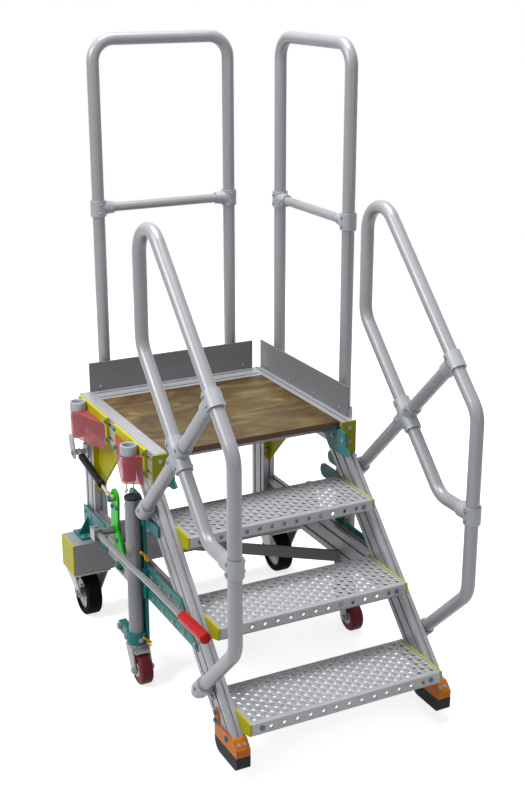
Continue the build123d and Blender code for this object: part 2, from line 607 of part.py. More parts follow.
def make_base():
    """Rear beam, legs, side rails and brace."""
    beam_half = BEAM_HALF_LENGTH - CAP_THICK
    y = (BEAM_FRONT, BEAM_REAR)
    z = (BEAM_BOTTOM, BEAM_TOP)
    bore_y = (y[0] + BEAM_WALL, y[1] - BEAM_WALL)
    bore_z = (z[0] + BEAM_WALL, z[1] - BEAM_WALL)
    beam = block((-beam_half, beam_half), y, z)
    save("rear_beam", beam - block((-beam_half, beam_half), bore_y, bore_z))
    save("beam_caps", both_sides(block((beam_half, BEAM_HALF_LENGTH), y, z)))

    out = DECK_WIDTH / 2
    leg_front = BEAM_REAR - LEG_DEPTH
    place = Plane(origin=(out - LEG_WIDTH / 2, BEAM_REAR - LEG_DEPTH / 2, BEAM_TOP))
    leg = extrude(place * slotted_section(LEG_WIDTH, LEG_DEPTH), MEMBER_BOTTOM - BEAM_TOP, dir=(0, 0, 1))
    save("rear_legs", both_sides(leg))

    foot = out + LEG_BRACKET_REACH
    high = BEAM_TOP + LEG_BRACKET_HEIGHT
    leg_y = (leg_front, BEAM_REAR)
    angle = block((out, foot), leg_y, (BEAM_TOP, BEAM_TOP + BRACKET_THICK))
    angle += block((out, out + BRACKET_THICK), leg_y, (BEAM_TOP, high))
    web = make_face(Polyline((out, BEAM_TOP), (foot, BEAM_TOP), (out, high), close=True))
    web_y = (leg_front + BEAM_REAR + BRACKET_THICK) / 2
    angle += extrude(Plane.XZ.offset(-web_y) * web, BRACKET_THICK, dir=(0, -1, 0))
    save("leg_brackets", both_sides(angle))

    inner = out - LEG_WIDTH
    axis = out - LEG_WIDTH / 2
    tip = MEMBER_BOTTOM - LEG_GUSSET_REACH
    gusset = plate(
        [(leg_front, MEMBER_BOTTOM), (leg_front - LEG_GUSSET_REACH, MEMBER_BOTTOM), (leg_front, tip)],
        (axis - BRACKET_THICK / 2, axis + BRACKET_THICK / 2),
    )
    shoulder = tip + LEG_GUSSET_POINT
    head = [(inner, MEMBER_BOTTOM), (out, MEMBER_BOTTOM)]
    flange = Polyline(*head, (out, shoulder), (axis, tip), (inner, shoulder), close=True)
    gusset += extrude(Plane.XZ.offset(-leg_front) * make_face(flange), BRACKET_THICK, dir=(0, -1, 0))
    save("leg_top_gussets", both_sides(gusset))

    middle = (STRINGER_IN + STRINGER_OUT) / 2
    start = slope_at(STRINGER_FRONT, BEAM_TOP)[0]
    place = Plane(origin=(middle, start, BEAM_TOP + RAIL_HEIGHT / 2), x_dir=(1, 0, 0), z_dir=(0, 1, 0))
    section = slotted_section(STRINGER_WIDTH, RAIL_HEIGHT)
    rail = extrude(place * section, leg_front - start, dir=(0, 1, 0))
    foot_of_slope = slope_at(STRINGER_REAR, 0)
    head_of_slope = slope_at(STRINGER_REAR, DECK_HEIGHT)
    ahead = [foot_of_slope, head_of_slope, (foot_of_slope[0] - DECK_HEIGHT, DECK_HEIGHT)]
    save("side_rails", both_sides(rail - plate(ahead, (0, BEAM_HALF_LENGTH))))

    strip_z = (BEAM_TOP, BEAM_TOP + STRIP_HEIGHT)
    strip_end = COLUMN_Y - SPINE_WIDTH / 2 - GUIDE_GAP - GUIDE_DEPTH
    strip = plate(
        [
            slope_at(STRINGER_MID, strip_z[0]),
            (strip_end, strip_z[0]),
            (strip_end, strip_z[1]),
            slope_at(STRINGER_MID, strip_z[1]),
        ],
        (STRINGER_OUT, STRINGER_OUT + STRIP_THICK),
    )
    save("rail_strips", both_sides(strip))

    near = BEAM_FRONT - BRACE_RUN
    outline = [
        (-STRINGER_IN, BEAM_FRONT - BRACE_WIDTH),
        (STRINGER_IN, near - BRACE_WIDTH),
        (STRINGER_IN, near),
        (-STRINGER_IN, BEAM_FRONT),
    ]
    face = Plane.XY.offset(BEAM_TOP - BRACE_DROP) * make_face(Polyline(*outline, close=True))
    save("diagonal_brace", extrude(face, BRACE_HEIGHT, dir=(0, 0, 1)))


def make_rear_castors():
    """Fixed castors under the rear beam: plate, flared fork, axle, rim and tyre."""
    width, depth, thick = CASTOR_PLATE
    y = (BEAM_FRONT + BEAM_REAR) / 2
    top = BEAM_BOTTOM - thick
    axle = REAR_WHEEL_RADIUS
    inner = REAR_WHEEL_WIDTH / 2 + WHEEL_GAP
    outer = inner + FORK_WALL
    centre = Pos(REAR_CASTOR_X, y)

    def flared(half_top, half_low, depth_top, depth_low):
        """A block that narrows from the plate down to the axle."""
        high = Pos(0, 0, top) * Rectangle(2 * half_top, depth_top)
        low = Pos(0, 0, axle) * Rectangle(2 * half_low, depth_low)
        return centre * loft([low, high])

    fork = flared(width / 2, outer, depth, FORK_FOOT_DEPTH)
    fork -= flared(width / 2 - FORK_WALL, inner, 2 * depth, 2 * depth)
    for side in (-1, 1):
        cheek = (REAR_CASTOR_X + side * inner, REAR_CASTOR_X + side * outer)
        fork += rod((cheek[0], y, axle), (cheek[1], y, axle), AXLE_BOSS_RADIUS)
    fork += centre * Pos(0, 0, top + thick / 2) * Box(width, depth, thick)
    fork += rod((REAR_CASTOR_X - outer, y, axle), (REAR_CASTOR_X + outer, y, axle), AXLE_RADIUS)
    save("rear_castor_forks", both_sides(fork))

    place = Plane(origin=(REAR_CASTOR_X, y, axle), z_dir=(1, 0, 0))
    tyre = Cylinder(REAR_WHEEL_RADIUS, REAR_WHEEL_WIDTH)
    tyre = fillet(tyre.edges(), REAR_TYRE_ROUND) - Cylinder(REAR_RIM_RADIUS, REAR_WHEEL_WIDTH)
    rim = Cylinder(REAR_RIM_RADIUS, REAR_RIM_WIDTH)
    for side in (-1, 1):
        mouth = side * (REAR_RIM_WIDTH - RIM_DISH[2]) / 2
        rim -= Pos(0, 0, mouth) * Rot(0 if side > 0 else 180) * Cone(*RIM_DISH)
    rim += Cylinder(AXLE_BOSS_RADIUS, REAR_WHEEL_WIDTH)
    rim -= Cylinder(AXLE_RADIUS + FIT_GAP, REAR_WHEEL_WIDTH)
    for name, shape in (("rear_tyre", place * tyre), ("rear_rim", place * rim)):
        save(f"{name}_right", shape)
        save(f"{name}_left", other_side(shape))


def make_columns():
    """Lifting columns with their sliding spines and foot clamps, and the guides they run in."""
    x, y = COLUMN_X, COLUMN_Y
    column = rod((x, y, COLUMN_BOTTOM), (x, y, COLUMN_TOP), COLUMN_RADIUS)
    pin_y, pin_z = along(CRANK_SHAFT, CRANK_LOW, 1)
    far_y = CRANK_SHAFT[0] + swung(CRANK_LOW, LEVER_SWING)[0]
    slot = CRANK_PIN_RADIUS + YOKE_PLAY
    high = slot + YOKE_WALL
    yoke_in = CRANK_X + CRANK_THICK / 2 + YOKE_GAP
    yoke_x = (yoke_in, yoke_in + YOKE_THICK)
    yoke = block(yoke_x, (y, pin_y + high), (pin_z - high, pin_z + high))
    yoke -= block(yoke_x, (min(pin_y, far_y) - slot, max(pin_y, far_y) + slot), (pin_z - slot, pin_z + slot))
    column += yoke
    save("column_right", column)
    save("column_left", other_side(column))

    foot = (COLUMN_BOTTOM, COLUMN_BOTTOM + COLUMN_CLAMP_HEIGHT)
    spine_x = (STRINGER_OUT + GUIDE_GAP, x - COLUMN_RADIUS)
    half = SPINE_WIDTH / 2
    bracket = block(spine_x, (y - half, y + half), (foot[0], COLUMN_TOP - COLUMN_CLAMP_HEIGHT))
    for height, reach, width in SPINE_EARS:
        site = Plane.YZ.offset(spine_x[0]) * Pos(y + reach / 2 + half / 2, height)
        ear = site * SlotCenterToCenter(reach, width)
        bracket += extrude(ear, spine_x[1] - spine_x[0], dir=(1, 0, 0))
    bracket += rod((x, y, foot[0]), (x, y, foot[1]), COLUMN_RADIUS + COLUMN_CLAMP_WALL)
    ear_width, ear_reach, ear_round = CLAMP_EAR
    ear = block((x, x + ear_width), (y, y + ear_reach), foot)
    bracket += fillet(ear.edges().filter_by(Axis.X).sort_by(Axis.Y)[-2:], ear_round)
    bracket -= rod((x, y, foot[0]), (x, y, foot[1]), COLUMN_RADIUS)
    save("column_bracket_right", bracket)
    save("column_bracket_left", other_side(bracket))

    guides = []
    lip_x = (spine_x[1] + GUIDE_GAP, spine_x[1] + GUIDE_GAP + GUIDE_LIP)
    for side, reach, z in (
        (-1, GUIDE_DEPTH, (BEAM_TOP, RAIL_TOP)),
        (1, GUIDE_DEPTH, (BEAM_TOP, RAIL_TOP)),
        (-1, UPPER_GUIDE_REACH, UPPER_GUIDE),
    ):
        near = y + side * (half + GUIDE_GAP)
        far = near + side * reach
        end = near + side * GUIDE_DEPTH
        guide = block((STRINGER_OUT, spine_x[1]), sorted((near, far)), z)
        guide += block((STRINGER_OUT, lip_x[1]), sorted((near, end)), z)
        guide += block(lip_x, sorted((near - side * GUIDE_DEPTH, end)), z)
        guides += both_sides(guide)
    save("column_guides", guides)


def make_front_castors():
    """Swivel forks under the columns and their wheels."""
    x, y = COLUMN_X, COLUMN_Y
    axle_y = y - FRONT_TRAIL
    axle = FRONT_WHEEL_RADIUS
    inner = FRONT_WHEEL_WIDTH / 2 + WHEEL_GAP
    outer = inner + FORK_WALL
    head = (COLUMN_BOTTOM - SWIVEL_HEAD_HEIGHT - FIT_GAP, COLUMN_BOTTOM - FIT_GAP)
    crown = (head[0], head[0] + FORK_WALL)
    tail = y + FRONT_FORK_TAIL
    fork = rod((x, y, head[0]), (x, y, head[1]), outer)
    cheek_outline = [
        (tail, crown[0]),
        (tail, crown[1]),
        (y - outer, crown[1]),
        (axle_y - AXLE_BOSS_RADIUS, axle),
        (axle_y, axle - AXLE_BOSS_RADIUS),
        (axle_y + AXLE_BOSS_RADIUS, axle - AXLE_BOSS_RADIUS / 2),
    ]
    for side in (-1, 1):
        fork += plate(cheek_outline, sorted((x + side * inner, x + side * outer)))
    fork += block((x - outer, x + outer), (y - outer, tail), crown)
    fork += rod((x - outer, axle_y, axle), (x + outer, axle_y, axle), AXLE_RADIUS)
    save("front_fork_right", fork)
    save("front_fork_left", other_side(fork))

    wheel = Cylinder(FRONT_WHEEL_RADIUS, FRONT_WHEEL_WIDTH)
    wheel = fillet(wheel.edges(), FRONT_WHEEL_ROUND) - Cylinder(AXLE_RADIUS + FIT_GAP, FRONT_WHEEL_WIDTH)
    wheel = Plane(origin=(x, axle_y, axle), z_dir=(1, 0, 0)) * wheel
    save("front_wheel_right", wheel)
    save("front_wheel_left", other_side(wheel))


def make_lever():
    """Lever arm with its cross shaft, the two cranks, the grip and the shaft's bearings."""
    y, z = CRANK_SHAFT
    start = Vector(-LEVER_X, y, z)
    tip = Vector(-LEVER_X, y - LEVER_LENGTH, z + LEVER_RISE)
    grip_start = tip - (tip - start).normalized() * GRIP_LENGTH
    arm = rod(tuple(start), (CRANK_X + CRANK_THICK, y, z), SHAFT_RADIUS)
    hub_x = (-LEVER_X - GRIP_RADIUS, -LEVER_X + LEVER_RADIUS)
    half = HUB_SIZE / 2
    arm += block(hub_x, (y - half, y + half), (z - half, z + half))
    arm += rod(tuple(start), tuple(tip), LEVER_RADIUS)
    save("lever_arm", arm)
    grip = rod(tuple(grip_start), tuple(tip), GRIP_RADIUS)
    save("lever_grip", fillet(grip.edges(), GRIP_ROUND) - arm)

    cranks = []
    for side in (-1, 1):
        near = side * CRANK_X - CRANK_THICK / 2
        crank = rod((near, y, z), (near + CRANK_THICK, y, z), CRANK_HUB_RADIUS)
        for end in (CRANK_TOP, CRANK_LOW) if side < 0 else (CRANK_LOW,):
            turn = math.degrees(math.atan2(end[1], end[0]))
            bar = Rot(0, 0, turn) * SlotCenterToCenter(math.hypot(*end), CRANK_WIDTH)
            face = Plane.YZ.offset(near) * Pos(*along((y, z), end, 0.5)) * bar
            crank += extrude(face, CRANK_THICK, dir=(1, 0, 0))
        low = along((y, z), CRANK_LOW, 1)
        pin_end = side * (CRANK_X + CRANK_THICK / 2 + 2 * YOKE_GAP + YOKE_THICK)
        crank += rod((side * CRANK_X, *low), (pin_end, *low), CRANK_PIN_RADIUS)
        if side < 0:
            high = along((y, z), CRANK_TOP, 1)
            boss_end = -SPRING_X + SPRING_EYE_THICK / 2 + FIT_GAP
            crank += rod((-CRANK_X, *high), (boss_end, *high), SPRING_EYE_RADIUS)
        crank -= rod((-LEVER_X, y, z), (LEVER_X, y, z), SHAFT_RADIUS)
        cranks.append(crank)
    save("lever_cranks", cranks)

    bearing_x = (STRINGER_IN, STRINGER_OUT)
    shaft_line = ((bearing_x[0], y, z), (bearing_x[1], y, z))
    bearing = block(bearing_x, (y - BEARING_RADIUS, y + BEARING_RADIUS), (RAIL_TOP, z))
    bearing += rod(*shaft_line, BEARING_RADIUS)
    bearing -= rod(*shaft_line, SHAFT_RADIUS + FIT_GAP)
    save("shaft_bearings", both_sides(bearing))


def make_gas_spring():
    """The gas spring between the left leg and the left crank, with its bracket."""
    eye = SPRING_EYE
    pin = along(CRANK_SHAFT, CRANK_TOP, 1)
    x = -SPRING_X
    eye_x = (x - SPRING_EYE_THICK / 2, x + SPRING_EYE_THICK / 2)
    span = math.dist(eye, pin)
    way = ((pin[0] - eye[0]) / span, (pin[1] - eye[1]) / span)
    leg_face = -DECK_WIDTH / 2
    half = SPRING_MOUNT_SIZE / 2
    mount_x = (leg_face - BRACKET_THICK, leg_face)
    mount = block(mount_x, (eye[0] - half, eye[0] + half), (eye[1] - half, eye[1] + half))
    mount += rod((leg_face, *eye), (eye_x[1] + FIT_GAP, *eye), SPRING_EYE_RADIUS)
    mount += rod((leg_face, *eye), (eye_x[0] - FIT_GAP, *eye), SPRING_ROD_RADIUS)
    save("spring_bracket", mount)

    neck = along(eye, way, SPRING_NECK)
    nose = along(pin, way, -SPRING_ROD_SHOWN)
    body = rod((x, *neck), (x, *nose), SPRING_BODY_RADIUS)
    body += rod((x, *eye), (x, *neck), SPRING_ROD_RADIUS)
    body += rod((eye_x[0], *eye), (eye_x[1], *eye), SPRING_EYE_RADIUS)
    body -= rod((eye_x[0], *eye), (eye_x[1], *eye), SPRING_ROD_RADIUS + FIT_GAP)
    bore = along(neck, way, SPRING_BODY_RADIUS)
    body -= rod((x, *bore), (x, *nose), SPRING_ROD_RADIUS + FIT_GAP)
    save("gas_spring_body", body)

    seat = along(nose, way, -SPRING_NECK)
    stem = rod((x, *seat), (x, *pin), SPRING_ROD_RADIUS)
    stem += rod((eye_x[0], *pin), (eye_x[1], *pin), SPRING_EYE_RADIUS)
    save("gas_spring_rod", stem)


os.makedirs("parts", exist_ok=True)
make_stair()
make_deck()
make_guards()
make_handrails()
make_base()
make_rear_castors()
make_columns()
make_front_castors()
make_lever()
make_gas_spring()
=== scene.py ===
import itertools
import math

import bmesh
import bpy
from mathutils import Matrix, Vector


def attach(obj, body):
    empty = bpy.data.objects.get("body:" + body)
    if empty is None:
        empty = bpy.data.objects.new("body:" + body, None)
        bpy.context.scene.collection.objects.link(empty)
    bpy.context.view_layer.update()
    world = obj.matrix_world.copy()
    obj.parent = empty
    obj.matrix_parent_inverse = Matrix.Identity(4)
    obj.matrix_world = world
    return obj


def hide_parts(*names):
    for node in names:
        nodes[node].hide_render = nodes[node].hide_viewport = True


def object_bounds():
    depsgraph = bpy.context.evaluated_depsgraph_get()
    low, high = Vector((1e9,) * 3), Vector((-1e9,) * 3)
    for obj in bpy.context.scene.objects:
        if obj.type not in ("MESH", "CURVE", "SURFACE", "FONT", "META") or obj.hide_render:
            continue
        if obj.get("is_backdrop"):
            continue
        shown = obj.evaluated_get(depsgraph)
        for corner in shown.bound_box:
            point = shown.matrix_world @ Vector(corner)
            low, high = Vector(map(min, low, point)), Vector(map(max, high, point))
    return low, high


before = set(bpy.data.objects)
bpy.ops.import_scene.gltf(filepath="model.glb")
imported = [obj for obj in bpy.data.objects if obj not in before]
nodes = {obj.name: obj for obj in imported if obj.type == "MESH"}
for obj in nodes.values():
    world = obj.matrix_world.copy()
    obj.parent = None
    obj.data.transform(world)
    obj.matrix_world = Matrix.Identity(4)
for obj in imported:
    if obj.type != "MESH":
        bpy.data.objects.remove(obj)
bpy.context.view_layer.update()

# Main places of the platform, in metres, as in the CAD model
# A pair is (y, z) unless its comment says otherwise
NOSE_Y = -0.621
RISE = 0.2
FIRST_STEP = 0.18
STEPS = 3
TREAD_HALF = 0.312
TREAD_DEPTH = 0.222
TREAD_LIP = 0.036
SHEET = 0.003
DECK_Z = 0.78
DECK_FRONT = -0.037
DECK_REAR = 0.613
DECK_HALF = 0.344
MEMBER_LOW = 0.69
TUBE = 0.02
CLAMP = 0.026
HANDRAIL_X = 0.374
KNEE = (-0.648, 0.684)
LOW_CLAMP = (-0.4318, 0.217)
HIGH_CLAMP = (-0.0358, 0.613)
KNEE_CROSS = (-0.2989, 0.8761)
TOP_TEE = (-0.5291, 1.1064)
MID_RAIL_Z = 1.397
REAR_POSTS = (-0.238, 0.238)  # x of each post
SIDE_POSTS = (0.078, 0.536)  # y of each post
REAR_POST_Y = 0.648
SIDE_POST_X = 0.379
STRINGER_OUT = 0.352
COLUMN = (0.384, 0.049)  # x, y
SHAFT = (0.269, 0.42)
CRANK_TOP = (0.259, 0.536)
CRANK_LOW = (0.207, 0.32)
CRANK_X = 0.3615
LEVER_X = 0.424
GRIP_TIP = (-0.571, 0.451)
SPRING_X = 0.3745
SPRING_EYE = (0.567, 0.59)
REAR_WHEEL = (0.374, 0.536, 0.08)  # x, y, z
FRONT_WHEEL = (0.384, 0.009, 0.05)  # x, y, z
SLOPE = math.sqrt(0.5)


# Materials
def shade(colour, factor):
    return tuple(min(1.0, c * factor) for c in colour)


class Shader:
    """A small builder for procedural materials in object coordinates."""

    COLOUR_A, COLOUR_B, COLOUR_OUT = 6, 7, 2  # colour sockets of a Mix node

    def __init__(self, name):
        self.mat = bpy.data.materials.new(name)
        self.mat.use_nodes = True
        self.tree = self.mat.node_tree
        self.tree.nodes.clear()
        out = self.node("OutputMaterial")
        self.bsdf = self.node("BsdfPrincipled")
        self.link(self.bsdf.outputs[0], out.inputs[0])
        self.coord = self.node("TexCoord").outputs["Object"]

    def node(self, kind, **values):
        made = self.tree.nodes.new("ShaderNode" + kind)
        for key, value in values.items():
            setattr(made, key, value)
        return made

    def link(self, a, b):
        self.tree.links.new(a, b)

    def put(self, socket, value):
        if isinstance(value, bpy.types.NodeSocket):
            self.link(value, socket)
        else:
            socket.default_value = value

    def mapped(self, scale, turn=(0, 0, 0)):
        m = self.node("Mapping")
        self.link(self.coord, m.inputs["Vector"])
        m.inputs["Rotation"].default_value = turn
        m.inputs["Scale"].default_value = scale
        return m.outputs[0]

    def noise(self, scale, detail=4.0, rough=0.55, vector=None, distortion=0.0):
        n = self.node("TexNoise")
        self.link(vector or self.coord, n.inputs["Vector"])
        n.inputs["Scale"].default_value = scale
        n.inputs["Detail"].default_value = detail
        n.inputs["Roughness"].default_value = rough
        n.inputs["Distortion"].default_value = distortion
        return n.outputs["Fac"]

    def bands(self, direction, vector, **values):
        """Parallel bands across one direction."""
        wave = self.node("TexWave", wave_type="BANDS", bands_direction=direction)
        self.link(vector, wave.inputs["Vector"])
        for socket, value in values.items():
            wave.inputs[socket.replace("_", " ")].default_value = value
        return wave.outputs["Fac"]

    def ramp(self, fac, *stops):
        """A colour ramp through (position, colour) stops."""
        r = self.node("ValToRGB")
        self.link(fac, r.inputs[0])
        e = r.color_ramp.elements
        while len(e) < len(stops):
            e.new(0.5)
        for spot, (at, colour) in zip(e, stops):
            spot.position = at
            spot.color = (*colour, 1.0)
        return r.outputs[0]

    def span(self, fac, low, high, start=0.25, end=0.75):
        """Stretches what lies between start and end to run from low to high."""
        m = self.node("MapRange")
        self.link(fac, m.inputs["Value"])
        for name, value in (("From Min", start), ("From Max", end), ("To Min", low), ("To Max", high)):
            m.inputs[name].default_value = value
        return m.outputs[0]

    def mix(self, fac, a, b):
        m = self.node("Mix", data_type="RGBA")
        self.put(m.inputs["Factor"], fac)
        self.put(m.inputs[self.COLOUR_A], (*a, 1.0) if isinstance(a, tuple) else a)
        self.put(m.inputs[self.COLOUR_B], (*b, 1.0) if isinstance(b, tuple) else b)
        return m.outputs[self.COLOUR_OUT]

    def math(self, kind, a, b):
        m = self.node("Math", operation=kind)
        self.put(m.inputs[0], a)
        self.put(m.inputs[1], b)
        return m.outputs[0]

    def vary(self, fac, colour, low, high):
        """A colour that drifts between a darker and a lighter shade of itself."""
        return self.mix(self.span(fac, 0.0, 1.0), shade(colour, low), shade(colour, high))

    def edged(self, base, mask, share, colour):
        """The base with a share of another colour along the hard edges."""
        return self.mix(self.math("MULTIPLY", mask, share), base, colour)

    def edges(self, radius):
        """Softened normals at hard edges, and a mask that is 1 along them."""
        bevel = self.node("Bevel", samples=4)
        bevel.inputs["Radius"].default_value = radius
        flat = self.node("NewGeometry").outputs["Normal"]
        dot = self.node("VectorMath", operation="DOT_PRODUCT")
        self.link(bevel.outputs[0], dot.inputs[0])
        self.link(flat, dot.inputs[1])
        mask = self.span(dot.outputs["Value"], low=1.0, high=0.0, start=0.86, end=0.995)
        return bevel.outputs[0], mask

    def bump(self, height, distance, strength, normal):
        b = self.node("Bump")
        self.link(height, b.inputs["Height"])
        b.inputs["Distance"].default_value = distance
        b.inputs["Strength"].default_value = strength
        self.link(normal, b.inputs["Normal"])
        return b.outputs[0]

    def finish(self, colour, rough, normal, gloss, metallic=0.0, alpha=1.0):
        self.put(self.bsdf.inputs["Base Color"], colour)
        self.put(self.bsdf.inputs["Roughness"], rough)
        self.link(normal, self.bsdf.inputs["Normal"])
        self.bsdf.inputs["Specular IOR Level"].default_value = gloss
        self.bsdf.inputs["Metallic"].default_value = metallic
        self.bsdf.inputs["Alpha"].default_value = alpha
        return self.mat


STREAKS_PER_METRE = 900.0
METAL_GLOSS = 0.4
WOOD_GLOSS = 0.25


def metal(name, colour, rough=0.40, metallic=0.25, run=(1, 1, 1), turn=(0, 0, 0), edge=0.0012):
    """Drawn or extruded metal: fine streaks along its length, faint clouding, bright edges."""
    s = Shader(name)
    along = s.mapped(tuple(STREAKS_PER_METRE / r for r in run), turn)
    streak = s.noise(scale=1.0, detail=3.0, rough=0.6, vector=along)
    cloud = s.noise(scale=9.0)
    soft, mask = s.edges(edge)
    base = s.vary(streak, colour, low=0.92, high=1.06)
    base = s.mix(s.span(cloud, low=0.0, high=0.55), base, shade(colour, 0.86))
    base = s.edged(base, mask, share=0.5, colour=shade(colour, 1.3))
    mottle = s.math("ADD", s.math("MULTIPLY", streak, 0.5), s.math("MULTIPLY", cloud, 0.5))
    roughness = s.span(mottle, low=rough - 0.07, high=rough + 0.09)
    skin = s.bump(streak, distance=0.00012, strength=0.25, normal=soft)
    return s.finish(base, roughness, skin, METAL_GLOSS, metallic)


def paint(name, colour, rough=0.42, chip=(0.45, 0.45, 0.45), gloss=0.22):
    """Coated metal: a fine orange-peel skin, slight fading, and wear along the edges."""
    s = Shader(name)
    peel = s.noise(scale=650.0, detail=2.0)
    fade = s.noise(scale=14.0, detail=5.0, rough=0.6)
    grit = s.noise(scale=160.0, detail=3.0)
    soft, mask = s.edges(radius=0.001)
    base = s.vary(fade, colour, low=0.86, high=1.1)
    worn = s.math("MULTIPLY", mask, s.span(grit, low=0.0, high=0.8, start=0.5, end=0.62))
    base = s.mix(worn, base, chip)
    roughness = s.span(fade, low=rough - 0.06, high=rough + 0.1)
    skin = s.bump(peel, distance=0.0002, strength=0.12, normal=soft)
    return s.finish(base, roughness, skin, gloss)


def galvanised(name, colour):
    """Zinc-plated pressed steel with its patchwork of crystals."""
    s = Shader(name)
    cells = s.node("TexVoronoi")
    s.link(s.coord, cells.inputs["Vector"])
    cells.inputs["Scale"].default_value = 170.0
    grain = s.node("SeparateColor")
    s.link(cells.outputs["Color"], grain.inputs[0])
    patch = grain.outputs[0]
    soft, mask = s.edges(radius=0.001)
    base = s.mix(patch, shade(colour, 0.72), shade(colour, 1.22))
    base = s.mix(s.span(s.noise(scale=30.0), low=0.0, high=0.5), base, shade(colour, 0.8))
    base = s.edged(base, mask, share=0.4, colour=shade(colour, 1.4))
    roughness = s.span(patch, low=0.34, high=0.52, start=0.0, end=1.0)
    skin = s.bump(patch, distance=0.0002, strength=0.2, normal=soft)
    return s.finish(base, roughness, skin, METAL_GLOSS, metallic=0.45)


def rubber(name, colour, rough=0.62, lift=1.6, gloss=0.15):
    """Moulded rubber or polyurethane: fine grain and a dusty bloom."""
    s = Shader(name)
    fine = s.noise(scale=420.0, detail=3.0)
    dust = s.noise(scale=18.0, detail=5.0, rough=0.65)
    soft, mask = s.edges(radius=0.0015)
    base = s.mix(s.span(dust, low=0.0, high=0.8), colour, shade(colour, lift))
    base = s.edged(base, mask, share=0.35, colour=shade(colour, lift * 1.3))
    roughness = s.span(dust, low=rough - 0.08, high=rough + 0.12)
    skin = s.bump(fine, distance=0.0004, strength=0.2, normal=soft)
    return s.finish(base, roughness, skin, gloss)


def plastic(name, colour, rough=0.3, gloss=0.3, alpha=1.0):
    """Moulded plastic with a faint flow pattern and soft edges."""
    s = Shader(name)
    flow = s.noise(scale=11.0, detail=2.0, rough=0.45)
    fine = s.noise(scale=520.0, detail=2.0)
    soft, mask = s.edges(radius=0.0012)
    base = s.vary(flow, colour, low=0.93, high=1.06)
    base = s.edged(base, mask, share=0.3, colour=shade(colour, 1.35))
    roughness = s.span(flow, low=rough - 0.06, high=rough + 0.08)
    skin = s.bump(fine, distance=0.0002, strength=0.1, normal=soft)
    return s.finish(base, roughness, skin, gloss, alpha=alpha)


def deck_wood(name):
    """Brown faced plywood: long grain across the deck, darker edges with their layers."""
    s = Shader(name)
    long = s.mapped((3.0, 6.5, 6.5), turn=(0, 0, 0.2))
    drift = s.noise(scale=1.8, detail=5.0, rough=0.58, vector=long, distortion=1.3)
    fibre = s.noise(scale=1.0, detail=6.0, rough=0.7, vector=s.mapped((28.0, 620.0, 620.0)))
    rings = s.bands("Y", s.mapped((1.4, 9.0, 9.0)), Scale=2.4, Distortion=7.0, Detail=3.0, Detail_Scale=0.9)
    grain = s.ramp(
        drift,
        (0.34, (0.032, 0.015, 0.004)),
        (0.46, (0.070, 0.041, 0.010)),
        (0.57, (0.104, 0.071, 0.020)),
        (0.68, (0.190, 0.138, 0.056)),
    )
    grain = s.mix(s.span(rings, low=0.0, high=0.3, start=0.3, end=1.0), grain, (0.108, 0.068, 0.027))
    grain = s.mix(s.span(fibre, low=0.0, high=0.25), grain, (0.052, 0.031, 0.012))
    layers = s.bands("Z", s.coord, Scale=95.0, Distortion=0.6)
    edge = s.mix(layers, (0.062, 0.032, 0.016), (0.110, 0.060, 0.030))
    up = s.node("SeparateXYZ")
    s.link(s.node("NewGeometry").outputs["Normal"], up.inputs[0])
    top = s.span(up.outputs["Z"], low=0.0, high=1.0, start=0.4, end=0.6)
    soft, mask = s.edges(radius=0.0015)
    base = s.mix(top, edge, grain)
    base = s.edged(base, mask, share=0.35, colour=(0.30, 0.21, 0.12))
    height = s.math("ADD", fibre, s.math("MULTIPLY", drift, 0.6))
    skin = s.bump(height, distance=0.0004, strength=0.35, normal=soft)
    return s.finish(base, s.span(drift, low=0.40, high=0.58), skin, WOOD_GLOSS)


